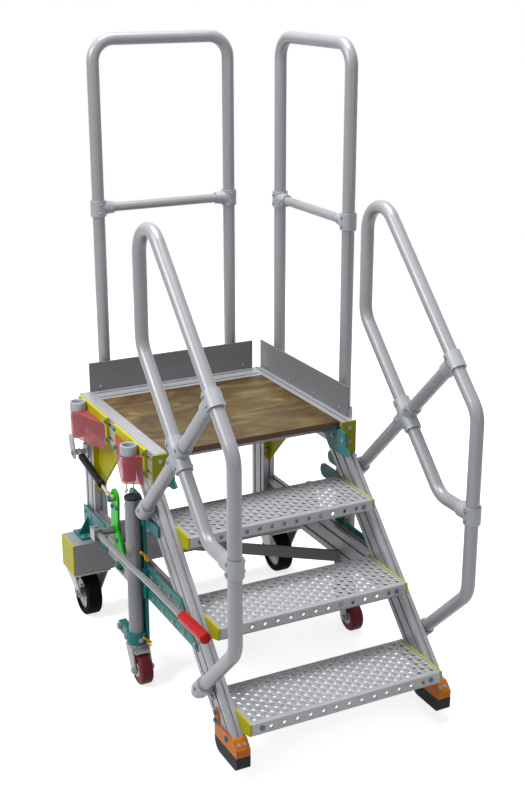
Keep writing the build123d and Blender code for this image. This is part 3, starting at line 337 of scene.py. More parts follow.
ALUMINIUM = (0.355, 0.357, 0.378)
STAIR_TURN = (math.radians(-45), 0, 0)
MATS = {
    "alu_x": metal("aluminium_along_x", ALUMINIUM, run=(60, 1, 1)),
    "alu_y": metal("aluminium_along_y", ALUMINIUM, run=(1, 60, 1)),
    "alu_z": metal("aluminium_along_z", ALUMINIUM, run=(1, 1, 60)),
    "alu_slope": metal("aluminium_along_slope", ALUMINIUM, run=(1, 60, 1), turn=STAIR_TURN),
    "beam": metal("beam_box_section", (0.27, 0.268, 0.28), rough=0.48, run=(60, 1, 1), metallic=0.1),
    "brace": metal("dark_brace", (0.15, 0.145, 0.155), rough=0.5, run=(60, 1, 1), metallic=0.1),
    "tube": metal("anodised_tube", (0.33, 0.33, 0.352), rough=0.36, run=(1, 1, 3), metallic=0.2),
    "column": metal("column_tube", (0.235, 0.235, 0.248), rough=0.42, metallic=0.15, run=(1, 1, 3)),
    "fitting": metal("cast_fitting", (0.37, 0.385, 0.41), rough=0.44, metallic=0.2),
    "tread": metal("tread_sheet", (0.37, 0.37, 0.39), rough=0.42, run=(40, 1, 1), edge=0.0008),
    "toe": metal("toe_board_sheet", (0.205, 0.203, 0.215), rough=0.5, metallic=0.1, run=(30, 30, 1)),
    "yellow": paint("yellow_coat", (0.46, 0.43, 0.004), gloss=0.1),
    "olive": paint("olive_coat", (0.29, 0.29, 0.004)),
    "teal": paint("teal_coat", (0.016, 0.170, 0.160), chip=(0.30, 0.38, 0.38)),
    "green": paint("green_coat", (0.001, 0.48, 0.004), rough=0.36),
    "orange": paint("orange_coat", (0.56, 0.150, 0.002)),
    "pin": paint("orange_pin", (0.93, 0.44, 0.005), rough=0.36),
    "rubber": rubber("black_rubber", (0.016, 0.020, 0.020)),
    "tyre": rubber("solid_tyre", (0.003, 0.003, 0.003), rough=0.66, gloss=0.04),
    "red_wheel": rubber("red_tread", (0.115, 0.014, 0.020), rough=0.45, lift=1.35),
    "zinc": galvanised("zinc_steel", (0.34, 0.34, 0.35)),
    "socket": plastic("pink_socket", (0.46, 0.085, 0.105), rough=0.34, alpha=0.6),
    "grip": plastic("red_grip", (0.43, 0.003, 0.003), rough=0.3, gloss=0.2),
    "steel": metal("plain_steel", (0.225, 0.22, 0.23), rough=0.24, metallic=0.35, run=(1, 60, 1)),
    "chrome": metal("polished_rod", (0.66, 0.66, 0.68), rough=0.16, metallic=0.9, run=(1, 8, 1)),
    "black": paint("black_coat", (0.006, 0.006, 0.007), rough=0.36, chip=(0.08, 0.08, 0.08), gloss=0.15),
    "gold": metal("brass_clevis", (0.50, 0.42, 0.24), rough=0.36, metallic=0.4),
    "blue": metal("blue_zinc_bolt", (0.066, 0.155, 0.24), rough=0.36, metallic=0.2, edge=0.0006),
    "cap": plastic("dark_cap", (0.020, 0.026, 0.024), rough=0.5, gloss=0.15),
    "bolt": metal("steel_bolt", (0.28, 0.30, 0.32), rough=0.36, metallic=0.4, edge=0.0006),
    "wood": deck_wood("deck_plywood"),
}
NODE_MATS = {
    "alu_x": ["deck_rear_member", "deck_cross_members"],
    "beam": ["rear_beam"],
    "brace": ["diagonal_brace"],
    "alu_y": ["deck_sides", "side_rails", "shaft_bearings", "spring_bracket"],
    "alu_z": ["rear_legs"],
    "alu_slope": ["stringers"],
    "tube": ["guardrail_rear", "guardrail_right", "mid_rails", "handrail_left", "handrail_right"],
    "column": ["column_left", "column_right"],
    "fitting": ["guard_clamps", "handrail_clamps"],
    "tread": ["tread_1", "tread_2", "tread_3"],
    "wood": ["deck_board"],
    "toe": ["toe_boards"],
    "yellow": ["tread_end_plates", "beam_caps", "socket_plates", "leg_top_gussets"],
    "olive": ["corner_brackets"],
    "teal": ["leg_brackets", "rail_strips", "column_guides", "stair_brackets", "column_bracket_left",
             "column_bracket_right"],
    "green": ["lever_cranks"],
    "orange": ["foot_shoes"],
    "rubber": ["foot_pads"],
    "tyre": ["rear_tyre_left", "rear_tyre_right"],
    "red_wheel": ["front_wheel_left", "front_wheel_right"],
    "zinc": ["rear_castor_forks", "rear_rim_left", "rear_rim_right", "front_fork_left", "front_fork_right"],
    "socket": ["post_sockets_left", "post_sockets_guard"],
    "grip": ["lever_grip"],
    "steel": ["lever_arm"],
    "black": ["gas_spring_body"],
    "chrome": ["gas_spring_rod"],
}
for key, names in NODE_MATS.items():
    for name in names:
        slots = nodes[name].data.materials
        slots.clear()
        slots.append(MATS[key])


# Pieces
class Shape:
    """Collects the faces of one piece, in the platform's frame."""

    WASHER_STEPS = 20
    HEAD_STEPS = 6

    def __init__(self):
        self.bm = bmesh.new()

    def lathe(self, origin, axis, profile, steps):
        """A turned form: (radius, height) pairs swept round an axis through origin."""
        turn = Vector(axis).normalized().to_track_quat("Z", "Y").to_matrix().to_4x4()
        place = Matrix.Translation(origin) @ turn
        angles = [2 * math.pi * i / steps for i in range(steps)]
        rings = []
        for radius, height in profile:
            if radius == 0:
                rings.append([self.bm.verts.new(place @ Vector((0, 0, height)))])
                continue
            rings.append([
                self.bm.verts.new(place @ Vector((radius * math.cos(a), radius * math.sin(a), height)))
                for a in angles
            ])
        for a, b in zip(rings, rings[1:]):
            for i in range(steps):
                j = (i + 1) % steps
                quad = [a[i % len(a)], a[j % len(a)], b[j % len(b)], b[i % len(b)]]
                unique = list(dict.fromkeys(quad))
                if len(unique) > 2:
                    self.bm.faces.new(unique)

    def ease(self, edges, amount):
        """Rounds the given edges off."""
        edges = list(dict.fromkeys(edges))
        bmesh.ops.bevel(self.bm, geom=edges, offset=amount, segments=2, affect="EDGES", profile=0.6)

    def box(self, low, high, round_by=0.0):
        made = bmesh.ops.create_cube(self.bm, size=1.0)["verts"]
        low, high = Vector(low), Vector(high)
        for v in made:
            v.co = Vector((low[k] + (v.co[k] + 0.5) * (high[k] - low[k]) for k in range(3)))
        if round_by:
            self.ease((e for v in made for e in v.link_edges), round_by)

    def plate(self, outline, x_near, x_far, round_by):
        """A side plate: an outline in (y, z) between two X planes, its edges eased."""
        near = [self.bm.verts.new((x_near, y, z)) for y, z in outline]
        far = [self.bm.verts.new((x_far, y, z)) for y, z in outline]
        faces = [self.bm.faces.new(near), self.bm.faces.new(far[::-1])]
        for i in range(len(outline)):
            j = (i + 1) % len(outline)
            faces.append(self.bm.faces.new((near[i], far[i], far[j], near[j])))
        self.ease((e for f in faces for e in f.edges), round_by)

    def tube(self, points, radius, steps):
        """A round bar through the given points, with closed ends."""
        points = [Vector(p) for p in points]
        along = [(b - a).normalized() for a, b in zip(points, points[1:])]
        ways = [along[0]] + [(a + b).normalized() for a, b in zip(along, along[1:])] + [along[-1]]
        side = ways[0].orthogonal().normalized()
        angles = [2 * math.pi * i / steps for i in range(steps)]
        rings = []
        for point, way in zip(points, ways):
            side = (side - way * side.dot(way)).normalized()
            other = way.cross(side)
            rings.append([
                self.bm.verts.new(point + (side * math.cos(a) + other * math.sin(a)) * radius)
                for a in angles
            ])
        for a, b in zip(rings, rings[1:]):
            for i in range(steps):
                j = (i + 1) % steps
                self.bm.faces.new((a[i], a[j], b[j], b[i]))
        self.bm.faces.new(rings[0][::-1])
        self.bm.faces.new(rings[-1])

    def bolt(self, origin, axis, size):
        """A hexagon head on its washer; size is half the width over the corners."""
        rim, seat = size * 1.35, size * 0.2
        shoulder, crown, top = size * 0.75, size * 0.82, size * 0.92
        self.lathe(origin, axis, [(0, 0), (rim, 0), (rim, seat), (0, seat)], self.WASHER_STEPS)
        head = [(0, seat), (size, seat), (size, shoulder), (crown, top), (0, top)]
        self.lathe(origin, axis, head, self.HEAD_STEPS)

    def done(self, name, mat, body="platform", replaces=(), angle=35.0):
        bmesh.ops.recalc_face_normals(self.bm, faces=self.bm.faces)
        mesh = bpy.data.meshes.new(name)
        self.bm.to_mesh(mesh)
        self.bm.free()
        mesh.materials.append(MATS[mat])
        mesh.polygons.foreach_set("use_smooth", [True] * len(mesh.polygons))
        mesh.set_sharp_from_angle(angle=math.radians(angle))
        obj = bpy.data.objects.new(name, mesh)
        bpy.context.scene.collection.objects.link(obj)
        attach(obj, body)
        if replaces:
            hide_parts(*replaces)
        return obj


BOTH = (-1, 1)
SIDES = (("left", -1), ("right", 1))


def evenly(start, pitch, count):
    return [start + pitch * i for i in range(count)]


# Perforated treads: folded sheet with raised large holes and small ones between them
CELL_X = 0.021
CELL_Y = 0.016
CELLS = 29
ROWS = 12
FOLD = 0.004
FOLD_TURN = 30  # degrees
NOSE_ROW = (-0.0305, -0.0085)  # lowest and highest line of the row of nose holes
LARGE_HOLE = (0.0071, 0.0011, 16)  # radius, raised edge, sides
SMALL_HOLE = (0.0029, 0.0005, 8)
NOSE_HOLE = (0.0058, 0.0, 16)
TREAD_CREASE = 50.0  # degrees
NOSE_BOLT = 0.0060
NOSE_BOLT_X = 0.279
NOSE_BOLT_DROP = 0.019


def tread_profile():
    """The folded sheet from nose to back: its lines as (y, z), and what each row between them holds."""
    lines = [(0.0, -TREAD_LIP), (0.0, NOSE_ROW[0]), (0.0, NOSE_ROW[1]), (0.0, -FOLD)]
    holds = [None, "nose", None]
    for step in (1, 2, 3):
        a = math.radians(FOLD_TURN * step)
        lines.append((FOLD - FOLD * math.cos(a), -FOLD + FOLD * math.sin(a)))
        holds.append(None)
    first = (TREAD_DEPTH - ROWS * CELL_Y) / 2
    lines.append((first, 0.0))
    holds.append(None)
    for row in range(ROWS):
        lines.append((first + (row + 1) * CELL_Y, 0.0))
        holds.append("even" if row % 2 else "odd")
    lines.append((TREAD_DEPTH - FOLD, 0.0))
    holds.append(None)
    for step in (2, 1, 0):
        a = math.radians(FOLD_TURN * step)
        lines.append((TREAD_DEPTH - FOLD + FOLD * math.cos(a), -FOLD + FOLD * math.sin(a)))
        holds.append(None)
    lines.append((TREAD_DEPTH, -TREAD_LIP))
    holds.append(None)
    return lines, holds


def hole_for(hold, cell):
    """The hole that a cell of the sheet takes, if any."""
    if not 0 <= cell < CELLS or hold is None:
        return None
    if hold == "nose":
        return NOSE_HOLE if cell % 2 == 0 and 0 < cell < CELLS - 1 else None
    return LARGE_HOLE if cell % 2 == (hold == "even") else SMALL_HOLE


def pierce(bm, corner, hole):
    """Fills a cell between its four corners with faces round one hole."""
    radius, lift, count = hole
    middle = sum((v.co for v in corner), Vector()) / 4
    side = (corner[1].co - corner[0].co).normalized()
    rise = (corner[3].co - corner[0].co).normalized()
    out = side.cross(rise)
    ring = []
    for i in range(count):
        a = 2 * math.pi * i / count
        spoke = side * math.cos(a) + rise * math.sin(a)
        ring.append(bm.verts.new(middle + spoke * radius + out * lift))
    quarter = count // 4
    around = [corner[2], corner[3], corner[0], corner[1]]
    for q in range(4):
        for k in range(q * quarter, (q + 1) * quarter):
            bm.faces.new((ring[k], around[q], ring[(k + 1) % count]))
        bm.faces.new((ring[((q + 1) * quarter) % count], around[q], around[(q + 1) % 4]))


def make_tread(step):
    lines, holds = tread_profile()
    shape = Shape()
    bm = shape.bm
    origin = Vector((0, NOSE_Y + step * RISE, FIRST_STEP + step * RISE))
    start = -CELLS * CELL_X / 2
    columns = [-TREAD_HALF] + evenly(start, CELL_X, CELLS + 1) + [TREAD_HALF]
    grid = [[bm.verts.new(origin + Vector((x, y, z))) for x in columns] for y, z in lines]
    for r, hold in enumerate(holds):
        for c in range(len(columns) - 1):
            corner = [grid[r][c], grid[r][c + 1], grid[r + 1][c + 1], grid[r + 1][c]]
            hole = hole_for(hold, c - 1)
            if hole is None:
                bm.faces.new(corner)
            else:
                pierce(bm, corner, hole)
    node = f"tread_{step + 1}"
    obj = shape.done(f"{node}_sheet", "tread", replaces=[node], angle=TREAD_CREASE)
    thick = obj.modifiers.new("sheet", "SOLIDIFY")
    thick.thickness = SHEET
    thick.offset = -1.0


nose_bolts = Shape()
for step in range(STEPS):
    make_tread(step)
    for side in BOTH:
        spot = (side * NOSE_BOLT_X, NOSE_Y + step * RISE, FIRST_STEP + step * RISE - NOSE_BOLT_DROP)
        nose_bolts.bolt(spot, (0, -1, 0), NOSE_BOLT)
nose_bolts.done("tread_bolts", "blue")

# Handrail and guardrail fittings: screws, flanges on the stringers and tube ends
UPHILL = (SLOPE, SLOPE)
DOWNHILL = (SLOPE, -SLOPE)
UPRIGHT = (0, 1)
SCREW = 0.0048
SCREW_SEAT = 0.0006
SCREW_WAY = 0.014
CROSS_WAY = 0.038
BRANCH = CLAMP - 0.0015
SCREWED = (  # place, run of the tube, distance of the screws from the middle, radius of the clamp
    (TOP_TEE, UPHILL, SCREW_WAY, CLAMP),
    (KNEE, UPRIGHT, SCREW_WAY, CLAMP),
    (KNEE_CROSS, UPHILL, CROSS_WAY, CLAMP),
    (KNEE_CROSS, DOWNHILL, CROSS_WAY, BRANCH),
)
CLAMP_BOLT = 0.0058
FLANGE_HALF_LENGTH = 0.042
FLANGE_HALF_WIDTH = 0.019
FLANGE_OUT = STRINGER_OUT + 0.0035
FLANGE_EASE = 0.0012
FLANGE_SCREW = 0.0052
FLANGE_WAY = 0.034
TUBE_PAST_CLAMP = ((LOW_CLAMP, 0.05), (HIGH_CLAMP, 0.034))
END_RADIUS = TUBE - 0.0002
END_DOME = [(END_RADIUS, -0.001), (END_RADIUS, 0.0006), (0.0186, 0.0026), (0.0130, 0.0044), (0, 0.0054)]
END_STEPS = 28
BRANCH_SCREW = 0.0046
BRANCH_SCREW_IN = 0.040
BRANCH_SCREW_OUT = 0.0205

screws = Shape()
flanges = Shape()
ends = Shape()
for side in BOTH:
    for (y, z), run, gap, radius in SCREWED:
        for face, way in itertools.product(BOTH, (-gap, gap)):
            x = side * HANDRAIL_X + face * (radius - SCREW_SEAT)
            screws.bolt((x, y + run[0] * way, z + run[1] * way), (face, 0, 0), SCREW)
    for y, z in (LOW_CLAMP, HIGH_CLAMP):
        screws.bolt((side * (HANDRAIL_X + CLAMP - SCREW_SEAT), y, z), (side, 0, 0), CLAMP_BOLT)
        corners = []
        for a, b in ((-1, -1), (1, -1), (1, 1), (-1, 1)):
            along, across = FLANGE_HALF_LENGTH * a, FLANGE_HALF_WIDTH * b
            corners.append((y + SLOPE * (along + across), z + SLOPE * (along - across)))
        flanges.plate(corners, side * STRINGER_OUT, side * FLANGE_OUT, FLANGE_EASE)
        for way in (-FLANGE_WAY, FLANGE_WAY):
            spot = (side * FLANGE_OUT, y + SLOPE * way, z + SLOPE * way)
            screws.bolt(spot, (side, 0, 0), FLANGE_SCREW)
    for (y, z), past in TUBE_PAST_CLAMP:
        tip = (side * HANDRAIL_X, y + SLOPE * past, z - SLOPE * past)
        ends.lathe(tip, (0, *DOWNHILL), END_DOME, END_STEPS)
for x in REAR_POSTS:
    inward = -math.copysign(1, x)
    for way in (-SCREW_WAY, SCREW_WAY):
        screws.bolt((x, REAR_POST_Y - CLAMP + SCREW_SEAT, MID_RAIL_Z + way), (0, -1, 0), SCREW)
    spot = (x + inward * BRANCH_SCREW_IN, REAR_POST_Y - BRANCH_SCREW_OUT, MID_RAIL_Z)
    screws.bolt(spot, (0, -1, 0), BRANCH_SCREW)
for y, inward in zip(SIDE_POSTS, (1, -1)):
    for way in (-SCREW_WAY, SCREW_WAY):
        screws.bolt((SIDE_POST_X - CLAMP + SCREW_SEAT, y, MID_RAIL_Z + way), (-1, 0, 0), SCREW)
    spot = (SIDE_POST_X - BRANCH_SCREW_OUT, y + inward * BRANCH_SCREW_IN, MID_RAIL_Z)
    screws.bolt(spot, (-1, 0, 0), BRANCH_SCREW)
screws.done("clamp_screws", "bolt")
flanges.done("clamp_flanges", "fitting")
ends.done("tube_ends", "tube")

# Post sockets: bolts on the yellow plates, metal collars, bands and hanging clips
SOCKET_BOLT = 0.0064
SOCKET_BOLT_Z = (0.704, 0.766)
SIDE_BOLT_X = 0.353
SIDE_BOLT_Y = (0.0235, 0.2685, 0.3455, 0.5905)
REAR_BOLT_X = (0.0475, 0.2925)
REAR_BOLT_Y = DECK_REAR + 0.009
LIP = [(0.0222, 0.7826), (0.0206, 0.7816)]  # radius, height; this rounds the top of a collar inwards
COLLAR = [(0.0255, 0.7516), (0.0268, 0.7526), (0.0268, 0.7802), (0.0258, 0.7820)] + LIP
CROWN = [(0.0259, 0.7795), (0.0258, 0.7812), (0.0245, 0.7826)] + LIP
LINER = [(0.02015, 0.7808), (0.02015, 0.6670)]
BAND = [(0.0255, -0.003), (0.0268, -0.0024), (0.0268, 0.0024), (0.0255, 0.003)]
BAND_Z = (0.716, 0.730)
SOCKET_STEPS = 36
CLIPS = ((-0.383, 0.614), (-0.360, 0.608))  # x, lowest height
CLIP_Y = 0.095
CLIP_TOP = 0.664
CLIP_WIRE = 0.002
CLIP_STEPS = 8
CLIP_HOOK = (  # steps from the clip's x, CLIP_Y and its lowest height
    (0.0, 0.001, 0.016),
    (-0.004, 0.004, 0.006),
    (0.0, 0.009, 0.0),
    (0.005, 0.008, 0.006),
    (0.004, 0.003, 0.014),
)

bolts = Shape()
collars = Shape()
bands = Shape()
clips = Shape()
for z, side in itertools.product(SOCKET_BOLT_Z, BOTH):
    for y in SIDE_BOLT_Y:
        bolts.bolt((side * SIDE_BOLT_X, y, z), (side, 0, 0), SOCKET_BOLT)
    for x in REAR_BOLT_X:
        bolts.bolt((side * x, REAR_BOLT_Y, z), (0, 1, 0), SOCKET_BOLT)
for y, side in itertools.product(SIDE_POSTS, BOTH):
    profile = COLLAR + LINER if side < 0 else COLLAR  # the left sockets are empty
    collars.lathe((side * SIDE_POST_X, y, 0), (0, 0, 1), profile, SOCKET_STEPS)
    for z in BAND_Z:
        bands.lathe((side * SIDE_POST_X, y, z), (0, 0, 1), BAND, SOCKET_STEPS)
for x in REAR_POSTS:
    collars.lathe((x, REAR_POST_Y, 0), (0, 0, 1), CROWN, SOCKET_STEPS)
for x, low in CLIPS:
    hook = [(x + dx, CLIP_Y + dy, low + dz) for dx, dy, dz in CLIP_HOOK]
    clips.tube([(x, CLIP_Y, CLIP_TOP)] + hook, CLIP_WIRE, CLIP_STEPS)
bolts.done("socket_bolts", "blue")
collars.done("socket_collars", "fitting")
bands.done("socket_bands", "socket")
clips.done("socket_clips", "gold")

# Deck: cover strip along the open side and caps on the ends of its side members
COVER_LOW = (-0.3432, DECK_FRONT + 0.0005, DECK_Z - 0.0006)
COVER_HIGH = (-0.3008, DECK_REAR - 0.0005, DECK_Z + 0.0016)
COVER_EASE = 0.0006
END_CAP_X = (0.3015, 0.3425)
END_CAP_Y = (DECK_REAR, DECK_REAR + 0.0035)
END_CAP_Z = (MEMBER_LOW + 0.0015, DECK_Z - 0.001)
END_CAP_EASE = 0.001

strip = Shape()
strip.box(COVER_LOW, COVER_HIGH, COVER_EASE)
strip.done("deck_cover_strip", "alu_y")
caps = Shape()
for side in BOTH:
    left, right = sorted(side * x for x in END_CAP_X)
    caps.box((left, END_CAP_Y[0], END_CAP_Z[0]), (right, END_CAP_Y[1], END_CAP_Z[1]), END_CAP_EASE)
caps.done("deck_end_caps", "yellow")

# Side rails: teal plates on their rear ends and teal strips on their upper edges
PLATE_OUT = STRINGER_OUT + 0.0045
PLATE_OUTLINE = [(0.372, 0.2905), (0.594, 0.2955), (0.594, 0.3865), (0.392, 0.3865), (0.376, 0.378)]
PACKER_X = (0.3495, 0.3525)
PACKER_Y = (0.508, 0.594)
PACKER_Z = (0.2955, 0.378)
TOP_STRIP_OUT = STRINGER_OUT + 0.005
TOP_STRIP_OUTLINE = [(-0.2809, 0.368), (-0.004, 0.368), (-0.004, 0.404), (-0.2449, 0.404)]
TEAL_EASE = 0.001

side_plates = Shape()
top_strips = Shape()
for side in BOTH:
    side_plates.plate(PLATE_OUTLINE, side * STRINGER_OUT, side * PLATE_OUT, TEAL_EASE)
    left, right = sorted(side * x for x in PACKER_X)
    side_plates.box((left, PACKER_Y[0], PACKER_Z[0]), (right, PACKER_Y[1], PACKER_Z[1]))
    top_strips.plate(TOP_STRIP_OUTLINE, side * STRINGER_OUT, side * TOP_STRIP_OUT, TEAL_EASE)
side_plates.done("rail_side_plates", "teal")
top_strips.done("rail_top_strips", "teal")

# Bolts of the frame and screws of the toe boards
FRAME_BOLTS = (  # places along x, y and z, axis with X pointing outwards, size
    ((0.327,), (DECK_FRONT - 0.006,), (0.712, 0.758), (0, -1, 0), 0.0058),  # corner brackets
    ((0.364, 0.387), (0.522, 0.580), (0.294,), (0, 0, 1), 0.0055),  # leg brackets
    ((0.357,), evenly(-0.345, 0.078, 5), (0.305,), (1, 0, 0), 0.0056),  # lower strips of the side rails
    ((0.294,), (-0.058, 0.004), (0.724,), (-1, 0, 0), 0.0055),  # stair brackets
    ((0.311,), (0.500,), (0.505, 0.640), (0, -1, 0), 0.0062),  # gussets on the rear legs
    ((PLATE_OUT,), (0.405, 0.455, 0.522, 0.580), (0.312, 0.362), (1, 0, 0), 0.0055),  # rear plates
    ((TOP_STRIP_OUT,), evenly(-0.238, 0.07, 4), (0.378,), (1, 0, 0), 0.0052),  # upper strips
)
TOE_SCREW = 0.0042
TOE_SCREW_Z = 0.796
TOE_FACE = 0.004
REAR_TOE_X = evenly(-0.27, 0.18, 4)
RIGHT_TOE_Y = evenly(0.045, 0.17, 4)

small = Shape()
for across, along, up, axis, size in FRAME_BOLTS:
    for side, x, y, z in itertools.product(BOTH, across, along, up):
        small.bolt((side * x, y, z), (side * axis[0], axis[1], axis[2]), size)
for x in REAR_TOE_X:
    small.bolt((x, DECK_REAR - TOE_FACE, TOE_SCREW_Z), (0, -1, 0), TOE_SCREW)
for y in RIGHT_TOE_Y:
    small.bolt((DECK_HALF - TOE_FACE, y, TOE_SCREW_Z), (-1, 0, 0), TOE_SCREW)
small.done("frame_bolts", "bolt")

# Feet: the shoe's rear tab and the bolts that hold it to the stringer
SHOE_OUT = STRINGER_OUT + 0.005
SHOE_TAB = [
    (-0.500, 0.120), (-0.472, 0.120), (-0.468, 0.128), (-0.468, 0.160), (-0.474, 0.168), (-0.486, 0.168),
    (-0.493, 0.160),
]
SHOE_TAB_EASE = 0.001
SHOE_BOLT = 0.0072
SHOE_BOLTS = ((-0.4815, 0.1555), (-0.4815, 0.131), (-0.548, 0.108))
SHOE_SCREW = 0.0048
SHOE_SCREW_X = (0.324, 0.343)
SHOE_SCREW_PLACE = (-0.6025, 0.1135)

tabs = Shape()
blue = Shape()
grey = Shape()
for side in BOTH:
    tabs.plate(SHOE_TAB, side * STRINGER_OUT, side * SHOE_OUT, SHOE_TAB_EASE)
    for place in SHOE_BOLTS:
        blue.bolt((side * SHOE_OUT, *place), (side, 0, 0), SHOE_BOLT)
    for x in SHOE_SCREW_X:
        grey.bolt((side * x, *SHOE_SCREW_PLACE), (0, -SLOPE, SLOPE), SHOE_SCREW)
tabs.done("shoe_tabs", "orange")
blue.done("shoe_bolts", "blue")
grey.done("shoe_screws", "bolt")

# Columns: dark caps, clamp bolts and orange hooked pins
COLUMN_CAP = [  # radius, height
    (0.0243, 0.6170), (0.0254, 0.6176), (0.0254, 0.6236), (0.0238, 0.6258), (0.0120, 0.6262), (0, 0.6262),
]
COLUMN_CAP_STEPS = 40
COLUMN_BOLT_Z = 0.145
COLUMN_BOLTS = (  # x, y, axis with X pointing outwards, size
    (0.407, 0.136, (1, 0, 0), 0.0105),
    (0.4162, 0.058, (1, 0, 0), 0.0075),
    (COLUMN[0], 0.0162, (0, -1, 0), 0.0065),
)
PIN_Z = (0.436, 0.141)
PIN_BAR = ((0.376, 0.0150, 0.013), (0.3635, 0.0152, 0.001), (0.350, 0.0154, -0.011))
PIN_HOOK = (
    (0.3635, 0.0150, 0.001), (0.3610, 0.0105, -0.012), (0.3565, 0.0085, -0.018),
    (0.3515, 0.0090, -0.015),
)
PIN_PATHS = ((PIN_BAR, 0.0042), (PIN_HOOK, 0.0032))  # points as x, y, height over PIN_Z; radius
PIN_STEPS = 12

for name, side in SIDES:
    body = f"column_{name}_slider"
    cap = Shape()
    cap.lathe((side * COLUMN[0], COLUMN[1], 0), (0, 0, 1), COLUMN_CAP, COLUMN_CAP_STEPS)
    cap.done(f"column_cap_{name}", "cap", body)
    bolt = Shape()
    for x, y, axis, size in COLUMN_BOLTS:
        bolt.bolt((side * x, y, COLUMN_BOLT_Z), (side * axis[0], axis[1], axis[2]), size)
    bolt.done(f"column_bolts_{name}", "bolt", body)
    pin = Shape()
    for z, (path, radius) in itertools.product(PIN_Z, PIN_PATHS):
        pin.tube([(side * x, y, z + up) for x, y, up in path], radius, PIN_STEPS)
    pin.done(f"column_pins_{name}", "pin", body)

# Front castors: swivel rings, crown lining, axle bolts and wheel hubs
SWIVEL = [  # radius, height
    (0.0280, 0.1136), (0.0330, 0.1146), (0.0335, 0.1180), (0.0322, 0.1192),
    (0.0322, 0.1208), (0.0335, 0.1220), (0.0335, 0.1252), (0.0310, 0.1264),
]
SWIVEL_STEPS = 40
LINING_HALF = 0.0247
LINING_Y = (-0.0020, 0.0715)
LINING_Z = (0.1052, 0.1148)
LINING_EASE = 0.002
FRONT_FORK_OUT = 0.030
FRONT_AXLE_BOLT = 0.0088
FRONT_WHEEL_FACE = 0.020
HUB = [  # radius, height over the wheel's face
    (0.0066, 0.0004), (0.0066, 0.0030), (0.0150, 0.0030),
    (0.0190, 0.0018), (0.0230, 0.0016), (0.0240, 0.0002),
]
HUB_STEPS = 36
TREAD_EDGE = [(0.0352, -0.0004), (0.0362, 0.0010), (0.0392, 0.0010), (0.0402, -0.0004)]
TREAD_EDGE_STEPS = 48

for name, side in SIDES:
    x, y, z = side * FRONT_WHEEL[0], FRONT_WHEEL[1], FRONT_WHEEL[2]
    fork = Shape()
    hub = Shape()
    edge = Shape()
    fork.lathe((x, COLUMN[1], 0), (0, 0, 1), SWIVEL, SWIVEL_STEPS)
    lining_low = (x - LINING_HALF, LINING_Y[0], LINING_Z[0])
    lining_high = (x + LINING_HALF, LINING_Y[1], LINING_Z[1])
    fork.box(lining_low, lining_high, LINING_EASE)
    for face in BOTH:
        fork.bolt((x + face * FRONT_FORK_OUT, y, z), (face, 0, 0), FRONT_AXLE_BOLT)
        hub.lathe((x + face * FRONT_WHEEL_FACE, y, z), (face, 0, 0), HUB, HUB_STEPS)
        edge.lathe((x + face * FRONT_WHEEL_FACE, y, z), (face, 0, 0), TREAD_EDGE, TREAD_EDGE_STEPS)
    fork.done(f"front_castor_fittings_{name}", "zinc", f"front_castor_{name}")
    hub.done(f"front_hub_{name}", "zinc", f"front_roller_{name}")
    edge.done(f"front_wheel_edge_{name}", "red_wheel", f"front_roller_{name}")

# Rear castors: mounting plates, axle bolts, tyre beads and rim bolts
MOUNT_X = (0.3085, 0.4400)
MOUNT_Y = (0.4735, 0.5985)
MOUNT_Z = (0.1716, 0.1779)
MOUNT_EASE = 0.0012
REAR_FORK_OUT = 0.036
REAR_AXLE_BOLT = 0.0105
TYRE_FACE = 0.026
BEAD = [(0.0575, -0.003), (0.0600, 0.0006), (0.0620, 0.0014), (0.0650, 0.0014), (0.0668, -0.0004)]
BEAD_STEPS = 64
RIM_FACE = 0.0118
RIM_BOLT = 0.0042
RIM_BOLTS = 5
RIM_BOLT_CIRCLE = 0.034

plates = Shape()
axles = Shape()
for name, side in SIDES:
    x, y, z = side * REAR_WHEEL[0], REAR_WHEEL[1], REAR_WHEEL[2]
    left, right = sorted(side * across for across in MOUNT_X)
    plates.box((left, MOUNT_Y[0], MOUNT_Z[0]), (right, MOUNT_Y[1], MOUNT_Z[1]), MOUNT_EASE)
    bead = Shape()
    rim_bolts = Shape()
    for face in BOTH:
        axles.bolt((x + face * REAR_FORK_OUT, y, z), (face, 0, 0), REAR_AXLE_BOLT)
        bead.lathe((x + face * TYRE_FACE, y, z), (face, 0, 0), BEAD, BEAD_STEPS)
        for turn in evenly(90, 360 / RIM_BOLTS, RIM_BOLTS):
            a = math.radians(turn)
            along, up = RIM_BOLT_CIRCLE * math.cos(a), RIM_BOLT_CIRCLE * math.sin(a)
            rim_bolts.bolt((x + face * RIM_FACE, y + along, z + up), (face, 0, 0), RIM_BOLT)
    bead.done(f"rear_tyre_beads_{name}", "tyre", f"rear_roller_{name}")
    rim_bolts.done(f"rear_rim_bolts_{name}", "bolt", f"rear_roller_{name}")
plates.done("rear_castor_plates", "zinc")
axles.done("rear_axle_bolts", "bolt")

